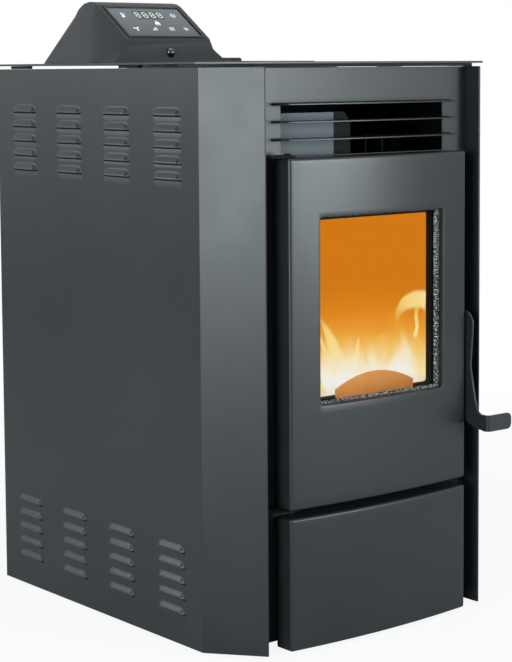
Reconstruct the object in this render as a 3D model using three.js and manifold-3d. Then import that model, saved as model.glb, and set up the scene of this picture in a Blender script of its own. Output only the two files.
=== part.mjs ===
// A free-standing pellet stove, in millimetres, with +Z up.
// The origin is on the floor below the middle of the cabinet, and the fire door faces -Y.

import * as THREE from "three";
import { mergeVertices } from "three/addons/utils/BufferGeometryUtils.js";
import Module from "manifold-3d";

const wasm = await Module();
wasm.setup();

// ---------------------------------------------------------------- driving dimensions

const TOUCH = 0.3; // gap between two pieces that bear on each other
const PAST = 1; // how far a cutting tool runs past the face that it cuts

const BODY_W = 549.2; // across the two side panels
const BODY_D = 617.2; // from the fins' front edges to the back
const PANEL_H = 840;
const FLOOR_GAP = 6; // below the side panels
const CHAMFER_X = 60.6; // the slanted front corners, across
const CHAMFER_Y = 80.8; // and back
const SHEET = 2; // cabinet sheet metal
const BEND_R = 2.5; // outside radius of the fin's fold
const FASCIA_BACK = 31; // from the fins' front edges to the fascia
const FIN_TAIL = 8; // how far a fin runs behind the fascia's face
const TOP_FLANGE = 18; // turned in along a side panel's top
const REAR_FLANGE = 16; // turned in along a side panel's back

const TOP_GAP = 5; // between the side panels and the top plate
const TOP_THICK = 3;
const TOP_OVERHANG = 2;
const TOP_SEAL_W = 6; // the rubber strip round the front and the sides, below the top plate
const TOP_SEAL_IN = 2; // from the body's outside in to the strip
const TOP_SEAL_FRONT = 24; // from the fins' front edges back to it
const TOP_SEAL_END = 4; // from the body's back to its ends
const CABLE_HOLE_R = 14; // below the control housing

const LOUVRE_LENGTH = 69;
const LOUVRE_HEIGHT = 12;
const LOUVRE_PROUD = 5;
const LOUVRE_WALL = 1.2;
const LOUVRE_MOUTH_IN = 7.2; // from a hood's ends in to its mouth
const LOUVRE_FULL = 0.8; // share of its half length over which a hood is full size
const LOUVRE_TIP = 0.06; // share of its size left at its ends
const LOUVRE_COLUMNS = 4;
const LOUVRE_COLUMN_PITCH = 128.2;
const LOUVRE_FIRST_COLUMN = 79.1; // from a side panel's front bend to the first column's middle
const LOUVRE_ROWS = 5;
const LOUVRE_ROW_PITCH = 23;
const LOUVRE_TOP_DROP = 68; // from a side panel's top to the upper group's first lip
const LOUVRE_LOW_LIP = 46; // from a side panel's bottom to the lower group's last lip

const FRONT_W = 352; // the fire door and the ash drawer's front
const FRONT_BOW = 10.6; // how far their middle stands proud of their sides
const FRONT_PROUD = 5; // how far their sides stand proud of the fins
const FRONT_SHEET = 2.5;
const FRONT_CORNER_R = 4;
const FRONT_DEPTH = 32; // of their folded sides
const BOW_STEPS = 12;

const DRAWER_H = 194;
const DOOR_GAP = 12.5; // between the drawer's front and the door, for the fingers
const DOOR_H = 505;
const WINDOW_IN = 53.3; // from the door's sides in to the window
const WINDOW_UP = 147.3; // from the door's bottom edge up to it
const WINDOW_DROP = 85; // from the door's top edge down to it
const WINDOW_R = 5;
const WINDOW_LIP_Y = 14; // how far the window's lip reaches behind the door's crown
const GLASS_THICK = 4;
const GLASS_OVERLAP = 12; // how far the glass runs behind the window's edge
const GLASS_R = 4;
const RING_ROUNDER = 6; // how much rounder a ring's outside is than its inside
const ROPE_R = 10;
const ROPE_IN = 2; // from the glass's edge in to the rope's
const ROPE_FLAT = 5; // the glass rope's thickness
const ROPE_SHOWS = 7; // how far the glass rope shows inside the window
const RETAINER_W = 19;
const RETAINER_DEPTH = 9.2;
const RETAINER_IN = 6; // how far the retainer and the inner plate run inside the window
const RETAINER_R = 8;
const GUARD_W = 156;
const GUARD_RISE = 36;
const GUARD_ARCH = 20; // how much of the rise is arch
const GUARD_THICK = 2;
const GUARD_STEPS = 14;
const GUARD_TUCK = 6; // how far it runs below the window's edge
const INNER_PLATE = 3;
const DOOR_ROPE = 10;
const DOOR_ROPE_IN = 1; // from the firebox's opening to the rope
const DOOR_ROPE_R = 6;

const HINGE_IN = 8; // from the door's left side to the hinge line
const HINGE_BACK = 12.6; // from the door's front corner back to the hinge line
const HINGE_PIN_R = 3.5;
const HINGE_RUN = 0.4; // clearance round a pin
const HINGE_PLATE = 3;
const HINGE_GAP = 0.6; // between a hinge bracket and the door
const HINGE_PIN_IN = 14; // how far a hinge pin stands in the door
const HINGE_HEAD_R = 5;
const HINGE_HEAD_H = 3;
const HINGE_ARM = 8; // from the hinge line to a bracket's edges
const HINGE_LEG_IN = 10; // from the hinge line to a bracket's leg
const HINGE_LEG_W = 26;
const HINGE_LEG_L = 28;

const LEVER_THICK = 3.5;
const LEVER_OUT = 4.5; // from the door's side to the lever
const LEVER_PIVOT_UP = 242.5; // from the door's bottom edge
const LEVER_PIVOT_BACK = 15.6; // from the door's front corner
const LEVER_PIN_R = 4;
const LEVER_NOSE_TOP = -7.5; // the nose's upper edge, from the pivot
const KEEPER_GAP = 0.5; // between the nose and the keeper's shelf
const KEEPER_IN = 2.5; // how far the keeper runs inside the lever
const KEEPER_W = 18;
const KEEPER_H = 28;
const KEEPER_BACK = 11; // from the lever's pivot back to the keeper's shelf
// The lever's side view as (back, up) from the pivot.
const LEVER_LINE = [
  [-4, 17],
  [-13, 15.5],
  [-21, 10],
  [-26, 1.5],
  [-26.5, -6],
  [-21.5, -70],
  [-32, -122],
  [-38, -138],
  [-44, -142],
  [-57, -142],
  [-57, -167],
  [-42, -165.5],
  [-15.8, -158],
  [-8, -142],
  [-5, -70],
  [-2, -20],
  [14, -17],
  [14, LEVER_NOSE_TOP],
  [8, -7],
  [7, 6],
  [2, 14],
];
const TAB_OUT = 51; // the finger tab, across
const TAB_H = 25;
const TAB_THICK = 3;
const TAB_FRONT = -60.6; // from the pivot to its face
const TAB_LOW = -167;
const TAB_BEND_R = 6;
const TAB_ROOT = 12; // how far its root runs back along the lever
const TAB_R = 8;
const PIVOT_HEAD_R = 7;
const PIVOT_HEAD = 4;
const PIVOT_IN = 8; // how far the bolt runs inside the door's side
const PIVOT_NUT = 5;

const OUTLET_W = 322; // the warm air outlet in the fascia
const OUTLET_H = 76;
const OUTLET_DROP = 51; // from the side panels' top to the outlet
const BLADE_COUNT = 3;
const BLADE_PITCH = 25.3;
const BLADE_THICK = 2;
const BLADE_SLIT = 3.2; // height of the slits that the blades pass through
const SLIT_EXTRA = 17.5; // how far a slit runs past the outlet, each side
const BLADE_OUT = 29; // from the fascia to a blade's front corners
const BLADE_TAPER = 8; // how much narrower a blade is in front, each side
const BLADE_TAIL = 12; // behind the fascia
const BLADE_STOP = 5; // how much wider than its slit the tail is, each side
const FASCIA_MARGIN = 7; // from the outlet down to the fascia's lower edge

const BAFFLE_SHEET = 1.5;
const BAFFLE_BEHIND = 16; // from the fascia back to the baffle's near leaf
const BAFFLE_STEP = 18; // and from there back to its far leaf
const BAFFLE_PAST = 20; // how far it runs past the outlet's left edge
const BAFFLE_BEND_X = -45.5; // where it steps back
const BAFFLE_END_X = 2.5;
const BAFFLE_DROP = 15; // from the outlet's top down to the baffle's
const BAFFLE_CUT_X = 12.4; // its slanted corner, across
const BAFFLE_CUT_Z = 15.2; // and down

const FRAME_THICK = 4;
const THROAT_IN = 15; // from the door's sides in to the firebox's opening in the front frame
const THROAT_UP = 32.5; // from the door's bottom edge up to it
const THROAT_DROP = 27.5; // from the door's top edge down to it
const BAY_GAP = 8; // round the ash pan, in the front frame

const FIREBOX_MORE = 4; // how much wider than its opening the firebox is, each side
const FIREBOX_DOWN = 30; // from its opening down to the firebox's underside
const FIREBOX_UP = 10; // from its opening up to the firebox's top
const FIREBOX_DEPTH = 313;
const FIREBOX_WALL = 4;
const BACK_PLATE = 8;
const BACK_PLATE_DROP = 90; // from the firebox's top down to the back plate's
const EXCHANGER = { in: 15, front: 70, rear: 8, edge: 10, fins: 9, thick: 4, high: 42 };
const RIB_PITCH = 35;
const RIB_THICK = 8;
const RIB_OUT = 6;
const RIB_ABOVE_PORT = 58; // from the pellet port's middle up to the ribs

const POD_W = 219.6; // the control housing, across its foot
const POD_D = 194.7;
const POD_ROOF_W = 160;
const POD_X = -142.2; // its middle
const POD_FRONT = 7.3; // its foot's front edge
const POD_WALL = 3;
// The housing's roof line, from the top of its front up the display's slope and down behind,
// as (back from the foot's front edge, up).
const POD_ROOF = [
  [4.5, 24],
  [5, 31.5],
  [9, 38],
  [84, 89.5],
  [94, 94],
  [106, 95.6],
  [122, 93],
  [137, 85],
  [146, 75],
];
const POD_LIFTS = [0.02, 0.5, 1]; // shares of the roof line's height at the housing's rings
const POD_ROOF_WALL = 3.75; // upright thickness of its roof
const POD_LOWEST = 0.5; // its thinnest edge, at its foot
const SLOPE_LOW = 2; // the display's slope lies between these two points of the roof line
const SLOPE_HIGH = 3;
const DISPLAY_W = 147;
const DISPLAY_L = 88; // up the slope
const DISPLAY_DEEP = 6;
const DISPLAY_CLEAR = 20; // how far the recess's cutter reaches outwards
const BEZEL_RIM = 8.3;
const BEZEL_PROUD = 1.5;
const PANE_FACE = 0.5; // from the slope in to the pane's face
const PANE_BACK = 3; // and to its seat
const DOME_R = 8;
const DOME_UP = 16; // its middle above the housing's foot
const DOME_SEAT = 8; // from the housing's front edge back to its middle
const DOME_TAIL = 6;
const DOME_HOLE = 20; // depth of its hole
const DOME_NOSE = [
  [8, 6],
  [6.4, 9],
  [3.2, 10.5],
  [0, 11],
]; // its front, as (radius, out)

const LID_X = 47; // the hopper lid's left edge
const LID_Y = 60; // its front edge
const LID_W = 148;
const LID_D = 170;
const LID_THICK = 3;
const MOUTH_IN = 9; // from the lid's edges to the hopper's mouth
const LID_PIN_R = 2.5;
const LID_KNUCKLE_R = 5;
const KNUCKLE_COUNT = 5;
const KNUCKLE_L = 20.7;
const LID_PIN_PAST = 3; // how far the pin runs past the knuckles
const LID_RELIEF = 1; // cut from the lid's back edge, clear of the fixed knuckles
const SEAL_IN = 4; // from the hopper's mouth in to the seal
const SEAL_H = 6;
const SEAL_R = 10;
const SEAL_W = 5;

const TRAY_IN = 26; // from the drawer front's sides in to the ash pan
const TRAY_REAR = -40; // the ash pan's back
const TRAY_RISE = 4; // from the base pan up to the ash pan
const TRAY_DROP = 15; // from the drawer front's top down to the ash pan's rim
const TRAY_WALL = 1.5;
const TRAY_SIDE_GAP = 1.5; // between the ash pan and its guides
const GUIDE_H = 22;
const RUNNER_W = 12; // how far the ash pan bears on each runner
const DRAWER_LIP = 1; // from the drawer front's top down to the ash pan's flange
const DRAWER_FOOT = 9; // from its bottom up to the flange

const FOOT_R = 18;
const FOOT_STEM_R = 5;
const FOOT_STEPS = 8;
const SOLE_H = 5;
const SOLE_TAPER = 2;
const NUT_R = 8.5;
const NUT_H = 6;
const LOCK_NUT_H = 3;
const FOOT_X = 225;
const FOOT_FRONT_Y = -190;
const FOOT_REAR_Y = 250;
const PAN_Z = 12; // underside of the base pan
const PAN_RIM = 22;

const VENT = { x: 20, z: 62, w: 48, h: 6, columns: 3, rows: 4, acrossPitch: 58, upPitch: 15 }; // behind
const INLET = { x: 196, z: 170, w: 48, h: 28, deep: 26, flange: 4, proud: 2 }; // the mains inlet, behind
const SOCKET = { in: 4, w: 26, r: 4, back: 8 }; // its socket
const SPACER = { x: 9, y: 50, in: 8.6, rear: 228, middle: -76 }; // the rubber blocks below the top plate

const FLUE_R = 40;
const INTAKE_R = 25;
const PIPE_WALL = 2;
const PIPE_CLEAR = 2; // round a pipe, where it passes through a plate
const PIPE_OUT = 50; // how far the flue pipe stands out behind
const INTAKE_OUT = 40;
const DUCT_R = 30;
const DUCT_STRAIGHT = 20; // before the smoke duct's bend
const DUCT_BEND = 34; // from the blower's axis up to the bend's end
const COLLECTOR_GAP = 6; // round the duct, in the box below it
const COLLECTOR_DROP = 4;

const HOPPER_X = [-30, 245]; // the hopper's upper box
const HOPPER_Y = [60, 290];
const HOPPER_BEND_Z = 690; // where its slanted walls begin
const HOPPER_NECK = { x: [-30, 30], y: [145, 205], z: 452 }; // its foot, over the auger tube
const HOPPER_NECK_H = 40;
const HOPPER_WALL = 1.5;

const AUGER_TILT = THREE.MathUtils.degToRad(35);
const AUGER_Y = 236; // its lower end
const AUGER_Z = 395;
const AUGER_L = 200;
const AUGER_R = 25;
const AUGER_PITCH = 40;
const AUGER_SHAFT_R = 8;
const AUGER_STEPS = 10; // corners of one turn of the flight
const FLIGHT_THICK = 2.5;
const FLIGHT_START = 14; // from the tube's lower end to the flight
const FLIGHT_SHORT = 30; // how much shorter than the shaft the flight is
const AUGER_RUN = 3; // clearance round the auger
const AUGER_TUBE_WALL = 3;
const AUGER_TUBE_MORE = 4; // how far the tube runs past the shaft
const TUBE_SEAT_PAST = 60;
const FEED_HALF = 24; // the tube's opening below the hopper, across
const FEED_IN = 6; // from the hopper's neck in to it
const FEED_Z = [50, 150]; // above the auger's lower end
const DROP_HALF = 20; // the tube's opening over the chute, across
const DROP_LONG = 32; // and along
const DROP_H = 95; // above the auger's lower end
const GEARBOX = { x: [-30, 34], y: [-27, 27], z: [-26, -3] };
const GEAR_FLANGE = 4;
const GEAR_MOTOR = { x: 6, r: 24, z: [-46, -25] };

const CHUTE_Y = 92; // the chute's middle below the auger's upper end
const CHUTE_TOP = 485;
const CHUTE_BEND = 425; // where it turns forward
const CHUTE_HALF = 22;
const CHUTE_WALL = 2;
const CHUTE_MITRE = 0.4; // slope of its section at the bend
const CHUTE_PORT_Z = 372; // its middle, in the firebox's back wall

const POT = { low: 262, high: 322, half: 62, foot: 48, wall: 4, lip: 8, floor: 6 }; // burn pot
const POT_BACK = 178.3; // from the firebox's front edge back to its middle
const POT_DEPTH = 0.8; // its depth as a share of its width
const POT_HOLE_R = 4; // the holes in its grate
const POT_HOLE_COLUMNS = [-30, -10, 10, 30];
const POT_HOLE_ROWS = [-12, 12];
const HOLDER_GAP = 4; // how much wider than the pot its holder is, each side
const HOLDER_WALL = 3;
const HOLDER_AIR_R = 14;
const HOLDER_AIR_UP = 22; // from the firebox's floor to the air hole's middle
const IGNITER_R = 5;
const IGNITER_UP = 20; // above the pot's underside
const IGNITER_GAP = 9; // from the pot's foot back to its tip
const IGNITER_HOLE_R = 8;
const SOCKET_R = 9;
const SOCKET_L = 24;
const ASH_SLOT = { half: 60, y: [18.3, 41.3] }; // in the firebox's floor, from its front edge
const SMOKE_IN = 70; // from the firebox's left side in to the smoke's way out
const SMOKE_Z = 262;
const INTAKE_IN = 75; // from its right side in to the air's way in
const INTAKE_Z = 245;
const BLOWER = { x: -155, y: 150, z: 150, r: 72, half: 26 }; // the exhaust blower's scroll
const BLOWER_WALL = 3;
const BLOWER_OUTLET_R = 26;
const BLOWER_NECK = 10; // how far its outlet runs into the flue pipe
const SHAFT_R = 4; // of both blowers
const SHAFT_TAIL = 12; // how far a shaft runs past the wheel, into the motor
const SHAFT_RUN = 1; // clearance round a shaft
const FLUE_GAP = 3; // from the scroll's back to the flue pipe
const COLLAR = 4; // the flue pipe's ring round the blower's outlet
const IMPELLER_R = 60;
const IMPELLER_VANES = 8;
const IMPELLER_CLEAR = 2; // between the scroll's wall and the impeller's disc
const IMPELLER_DISC = 3;
const IMPELLER_HUB_R = 10;
const VANE = { from: 8, to: 58, long: 26, thick: 2 };
const EXHAUST_MOTOR = { r: 40, long: 52, flangeR: 52, flange: 8 };
const FAN = { x: [20, 185], y: 232, z: 95, r: 30 }; // the room air blower's drum
const FAN_CLEAR = 6; // from the drum to the scroll
const FAN_OPEN = [0.62, 1.72]; // the scroll's ends, in half turns
const FAN_MOUTH = 30; // how far its back wall runs above the drum
const FAN_CHEEK = 8; // how much larger than the drum a cheek is, each side
const FAN_CHEEK_UP = 14;
const FAN_CHEEK_R = 14;
const FAN_SHEET = 2;
const FAN_SOLE = 14;
const FAN_IN = 8; // from a cheek's outside to the drum's end
const FAN_VANES = 12;
const FAN_VANE = { deep: 8, thick: 1.2 };
const FAN_MOTOR = { r: 28, long: 44, bore: 9 };
const FAN_SHAFT_HOLE_R = 7;

// ---------------------------------------------------------------- places worked out from them

function middleSpan(middle, size) {
  return [middle - size / 2, middle + size / 2];
}

function grown(span, by) {
  return [span[0] - by, span[1] + by];
}

const HALF_W = BODY_W / 2;
const FRONT_Y = -BODY_D / 2;
const REAR_Y = BODY_D / 2;
const PANEL_LOW = FLOOR_GAP;
const PANEL_TOP = FLOOR_GAP + PANEL_H;
const FIN_X = HALF_W - CHAMFER_X; // the fins' front edges
const FIN_FACE = FIN_X - BEND_R; // the fins' faces towards the door
const BEND_Y = FRONT_Y + CHAMFER_Y; // where a side panel bends
const FASCIA_Y = FRONT_Y + FASCIA_BACK;
const TOP_LOW = PANEL_TOP + TOP_GAP;
const TOP_HIGH = TOP_LOW + TOP_THICK;

const SIDE_Y = FRONT_Y - FRONT_PROUD; // front corners of the door and the drawer
const CROWN_Y = SIDE_Y - FRONT_BOW;
const DOOR_BACK = SIDE_Y + FRONT_DEPTH;
const DRAWER_LOW = PANEL_LOW;
const DRAWER_HIGH = DRAWER_LOW + DRAWER_H;
const DOOR_LOW = DRAWER_HIGH + DOOR_GAP;
const DOOR_HIGH = DOOR_LOW + DOOR_H;
const WINDOW_W = FRONT_W - 2 * WINDOW_IN;
const WINDOW_LOW = DOOR_LOW + WINDOW_UP;
const WINDOW_HIGH = DOOR_HIGH - WINDOW_DROP;
const WINDOW_X = [-WINDOW_W / 2, WINDOW_W / 2];
const WINDOW_Z = [WINDOW_LOW, WINDOW_HIGH];
const GUARD_LOW = WINDOW_LOW - GUARD_TUCK;
const LIP_Y = CROWN_Y + WINDOW_LIP_Y;
const ROPE_Y = LIP_Y + TOUCH;
const GLASS_Y = ROPE_Y + ROPE_FLAT + TOUCH;
const RETAINER_Y = GLASS_Y + GLASS_THICK + TOUCH;
const INNER_Y = RETAINER_Y + RETAINER_DEPTH + TOUCH;
const DOOR_ROPE_Y = INNER_Y + INNER_PLATE + TOUCH;

const HINGE_X = -FRONT_W / 2 + HINGE_IN;
const HINGE_Y = SIDE_Y + HINGE_BACK;
const LEVER_X = FRONT_W / 2 + LEVER_OUT;
const LEVER_Y = SIDE_Y + LEVER_PIVOT_BACK;
const LEVER_Z = DOOR_LOW + LEVER_PIVOT_UP;

const OUTLET_HIGH = PANEL_TOP - OUTLET_DROP;
const OUTLET_LOW = OUTLET_HIGH - OUTLET_H;
const FASCIA_BOTTOM = OUTLET_LOW - FASCIA_MARGIN;
const THROAT_W = FRONT_W - 2 * THROAT_IN;
const THROAT_LOW = DOOR_LOW + THROAT_UP;
const THROAT_HIGH = DOOR_HIGH - THROAT_DROP;
const FIREBOX_W = THROAT_W + 2 * FIREBOX_MORE;
const FIREBOX_LOW = THROAT_LOW - FIREBOX_DOWN;
const FIREBOX_HIGH = THROAT_HIGH + FIREBOX_UP;
const FIREBOX_Y = FASCIA_Y + FRAME_THICK + TOUCH;
const FIREBOX_REAR = FIREBOX_Y + FIREBOX_DEPTH;
const POT_Y = FIREBOX_Y + POT_BACK;
const IGNITER_Z = POT.low + IGNITER_UP;
const POD_LOW = TOP_HIGH + TOUCH;
const DOME_Z = POD_LOW + DOME_UP;
const LID_LOW = TOP_HIGH + TOUCH;
const LID_PIN_Y = LID_Y + LID_D + LID_KNUCKLE_R;
const LID_PIN_Z = LID_LOW + LID_KNUCKLE_R;
const MOUTH_X = [LID_X + MOUTH_IN, LID_X + LID_W - MOUTH_IN];
const MOUTH_Y = [LID_Y + MOUTH_IN, LID_Y + LID_D - MOUTH_IN];
const KNUCKLES_X = middleSpan(LID_X + LID_W / 2, KNUCKLE_COUNT * KNUCKLE_L);
const PAN_TOP = PAN_Z + SHEET;
const AUGER_TUBE_R = AUGER_R + AUGER_RUN + AUGER_TUBE_WALL;
const TRAY_HALF = FRONT_W / 2 - TRAY_IN;
const TRAY_LOW = PAN_TOP + TRAY_RISE;
const TRAY_HIGH = DRAWER_HIGH - TRAY_DROP;
const FEET = [
  [-FOOT_X, FOOT_FRONT_Y],
  [FOOT_X, FOOT_FRONT_Y],
  [-FOOT_X, FOOT_REAR_Y],
  [FOOT_X, FOOT_REAR_Y],
];
const REAR_SHEET_Y = REAR_Y - SHEET - TOUCH; // outside face of the rear panel
const FLUE_X = BLOWER.x;
const FLUE_Z = BLOWER.z;
const FLUE_START = BLOWER.y + BLOWER.r + FLUE_GAP;
const SMOKE_X = -FIREBOX_W / 2 + SMOKE_IN;
const INTAKE_X = FIREBOX_W / 2 - INTAKE_IN;

// ---------------------------------------------------------------- materials

function finish(color, roughness, metalness) {
  return new THREE.MeshStandardMaterial({ color, roughness, metalness });
}
const satinPaint = finish(0x4a4f52, 0.45, 0.3);
const stovePaint = finish(0x16181a, 0.8, 0.2);
const bareSteel = finish(0x9a9fa3, 0.35, 0.9);
const castIron = finish(0x2c2a28, 0.75, 0.6);
const blackRubber = finish(0x101112, 0.9, 0);
const ropeWeave = finish(0x5d5f60, 0.95, 0);
const housingPlastic = finish(0x3c4043, 0.5, 0.1);
const darkPlastic = finish(0x121416, 0.25, 0);
const galvanised = finish(0x8b9194, 0.45, 0.7);
const ceramicGlass = new THREE.MeshStandardMaterial({
  color: 0xd07a20,
  roughness: 0.05,
  metalness: 0,
  transparent: true,
  opacity: 0.35,
});
const displayGlass = finish(0x5c666b, 0.08, 0);

// ---------------------------------------------------------------- solids

// The closed solid that a geometry encloses, turned the right way out.
function toSolid(geometry) {
  const loose = geometry.index ? geometry.toNonIndexed() : geometry.clone();
  loose.deleteAttribute("normal");
  loose.deleteAttribute("uv");
  const merged = mergeVertices(loose, 1e-4);
  const vertProperties = merged.attributes.position.array;
  const triVerts = new Uint32Array(merged.index.array);
  const solid = new wasm.Manifold(new wasm.Mesh({ numProp: 3, vertProperties, triVerts }));
  if (solid.volume() > 0) return solid;
  for (let i = 0; i < triVerts.length; i += 3) triVerts.subarray(i + 1, i + 3).reverse();
  return new wasm.Manifold(new wasm.Mesh({ numProp: 3, vertProperties, triVerts }));
}

function toGeometry(solid) {
  const mesh = solid.getMesh();
  const position = new THREE.BufferAttribute(new Float32Array(mesh.vertProperties), 3);
  const geometry = new THREE.BufferGeometry().setAttribute("position", position);
  return geometry.setIndex(new THREE.BufferAttribute(new Uint32Array(mesh.triVerts), 1));
}

function join(...geometries) {
  return toGeometry(geometries.map(toSolid).reduce((whole, piece) => whole.add(piece)));
}

function cut(geometry, ...tools) {
  return toGeometry(tools.map(toSolid).reduce((whole, tool) => whole.subtract(tool), toSolid(geometry)));
}

function common(a, b) {
  return toGeometry(toSolid(a).intersect(toSolid(b)));
}

function box(x, y, z) {
  const geometry = new THREE.BoxGeometry(x[1] - x[0], y[1] - y[0], z[1] - z[0]);
  return geometry.translate((x[0] + x[1]) / 2, (y[0] + y[1]) / 2, (z[0] + z[1]) / 2);
}

// An outline in the plane across an axis, carried along that axis from low to high.
// Its points are (x, y) across Z, (x, z) across Y and (y, z) across X.
function extrude(axis, outline, low, high, ...holes) {
  const shape = new THREE.Shape(outline.map(([u, v]) => new THREE.Vector2(u, v)));
  shape.holes = holes.map((hole) => new THREE.Path(hole.map(([u, v]) => new THREE.Vector2(u, v))));
  const geometry = new THREE.ExtrudeGeometry(shape, { depth: high - low, bevelEnabled: false });
  if (axis === "z") return geometry.translate(0, 0, low);
  if (axis === "y") return geometry.rotateX(Math.PI / 2).translate(0, high, 0);
  const across = new THREE.Vector3(0, 1, 0);
  const up = new THREE.Vector3(0, 0, 1);
  const along = new THREE.Vector3(1, 0, 0);
  return geometry.applyMatrix4(new THREE.Matrix4().makeBasis(across, up, along)).translate(low, 0, 0);
}

function circle(u, v, radius, steps) {
  return Array.from({ length: steps }, (_, i) => {
    const turn = (2 * Math.PI * (i + 0.5)) / steps;
    return [u + radius * Math.cos(turn), v + radius * Math.sin(turn)];
  });
}

function rod(axis, u, v, radius, low, high, steps = 16) {
  return extrude(axis, circle(u, v, radius, steps), low, high);
}

function pipe(axis, u, v, outer, inner, low, high, steps = 20) {
  return extrude(axis, circle(u, v, outer, steps), low, high, circle(u, v, inner, steps));
}

// A rectangle with round corners.
function roundedRectangle(u, v, radius, steps = 2) {
  const corners = [
    [u[1] - radius, v[0] + radius, -Math.PI / 2],
    [u[1] - radius, v[1] - radius, 0],
    [u[0] + radius, v[1] - radius, Math.PI / 2],
    [u[0] + radius, v[0] + radius, Math.PI],
  ];
  return corners.flatMap(([cu, cv, start]) => arc(cu, cv, radius, start, start + Math.PI / 2, steps));
}

function arc(u, v, radius, start, end, steps) {
  return Array.from({ length: steps + 1 }, (_, i) => {
    const turn = start + ((end - start) * i) / steps;
    return [u + radius * Math.cos(turn), v + radius * Math.sin(turn)];
  });
}

// A strip of sheet metal seen edge on: the outside face's line, and the same line set in to its left.
function ribbon(line, thick) {
  const inside = line.map((point, i) => {
    const before = line[Math.max(i - 1, 0)];
    const after = line[Math.min(i + 1, line.length - 1)];
    const inward = leftOf(i === 0 ? point : before, i === 0 ? after : point);
    const onward = leftOf(i === line.length - 1 ? before : point, i === line.length - 1 ? point : after);
    const scale = thick / (1 + inward[0] * onward[0] + inward[1] * onward[1]);
    return [point[0] + (inward[0] + onward[0]) * scale, point[1] + (inward[1] + onward[1]) * scale];
  });
  return [...line, ...inside.reverse()];
}

function leftOf(from, to) {
  const length = Math.hypot(to[0] - from[0], to[1] - from[1]);
  return [-(to[1] - from[1]) / length, (to[0] - from[0]) / length];
}

// A solid skinned over rings of equally many points, closed by its first and last ring.
function loft(rings) {
  const count = rings[0].length;
  const position = rings.flat(2);
  const faces = [];
  for (let ring = 0; ring < rings.length - 1; ring += 1) {
    for (let i = 0; i < count; i += 1) {
      const a = ring * count + i;
      const b = ring * count + ((i + 1) % count);
      faces.push(a, b, b + count, a, b + count, a + count);
    }
  }
  const last = (rings.length - 1) * count;
  for (let i = 1; i < count - 1; i += 1) {
    faces.push(0, i + 1, i, last, last + i, last + i + 1);
  }
  const geometry = new THREE.BufferGeometry();
  geometry.setAttribute("position", new THREE.Float32BufferAttribute(position, 3));
  return geometry.setIndex(faces);
}

// A profile of (radius, height) points turned round a vertical axis through the origin.
function turned(profile, steps = 20) {
  const points = profile.map(([radius, height]) => new THREE.Vector2(radius, height));
  return new THREE.LatheGeometry(points, steps).rotateX(Math.PI / 2);
}

const stove = new THREE.Group();

function add(name, geometry, material, parent = stove) {
  const mesh = new THREE.Mesh(geometry, material);
  mesh.name = name;
  parent.add(mesh);
  return mesh;
}

// ---------------------------------------------------------------- cabinet

// The body's plan set in on its sides and slanted corners, cut straight in front and behind.
function bodyPlan(inset, front, rear) {
  const slope = CHAMFER_X / CHAMFER_Y;
  const side = HALF_W - inset;
  const slant = inset * Math.hypot(1, slope); // the slanted line's shift across
  const bend = BEND_Y + (inset - slant) / -slope;
  const nose = HALF_W - slant - (BEND_Y - front) * slope;
  return [
    [-side, rear],
    [-side, bend],
    [-nose, front],
    [nose, front],
    [side, bend],
    [side, rear],
  ];
}

// The left side panel's outside line in plan: back flange, side, slanted corner, folded fin.
function sidePanelLine() {
  const bend = [-HALF_W, BEND_Y];
  const centre = [-FIN_X, FRONT_Y + BEND_R];
  const reach = Math.hypot(centre[0] - bend[0], centre[1] - bend[1]);
  const aim = Math.atan2(centre[1] - bend[1], centre[0] - bend[0]);
  const slant = aim - Math.asin(BEND_R / reach);
  const fold = arc(centre[0], centre[1], BEND_R, slant - Math.PI / 2, 0, 5);
  return [
    [-HALF_W + REAR_FLANGE, REAR_Y],
    [-HALF_W, REAR_Y],
    bend,
    ...fold,
    [-FIN_FACE, FASCIA_Y + FIN_TAIL],
  ];
}

// One louvre's hood: flush with the sheet above, proud at its lip, drawn in at both ends.
function louvreHood(y, z) {
  const half = LOUVRE_LENGTH / 2;
  const rings = [
    [-half, LOUVRE_TIP],
    [-half * LOUVRE_FULL, 1],
    [half * LOUVRE_FULL, 1],
    [half, LOUVRE_TIP],
  ].map(([along, size]) => [
    [-HALF_W + SHEET / 2, y + along, z],
    [-HALF_W - LOUVRE_PROUD * size, y + along, z],
    [-HALF_W + SHEET / 2, y + along, z + LOUVRE_HEIGHT],
  ]);
  return loft(rings);
}

// The hollow below a hood, open through its mouth and through the sheet behind.
function louvreHollow(y, z) {
  const half = LOUVRE_LENGTH / 2 - LOUVRE_MOUTH_IN;
  const deep = -HALF_W + SHEET + PAST;
  const rings = [-half, half].map((along) => [
    [deep, y + along, z - PAST],
    [-HALF_W - LOUVRE_PROUD + LOUVRE_WALL, y + along, z - PAST],
    [deep, y + along, z + LOUVRE_HEIGHT - LOUVRE_WALL],
  ]);
  return loft(rings);
}

function louvrePlaces() {
  const topLip = PANEL_TOP - LOUVRE_TOP_DROP;
  const lowLip = PANEL_LOW + LOUVRE_LOW_LIP + (LOUVRE_ROWS - 1) * LOUVRE_ROW_PITCH;
  const places = [];
  for (const lip of [topLip, lowLip]) {
    for (let row = 0; row < LOUVRE_ROWS; row += 1) {
      for (let column = 0; column < LOUVRE_COLUMNS; column += 1) {
        const y = BEND_Y + LOUVRE_FIRST_COLUMN + column * LOUVRE_COLUMN_PITCH;
        places.push([y, lip - row * LOUVRE_ROW_PITCH]);
      }
    }
  }
  return places;
}

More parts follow.
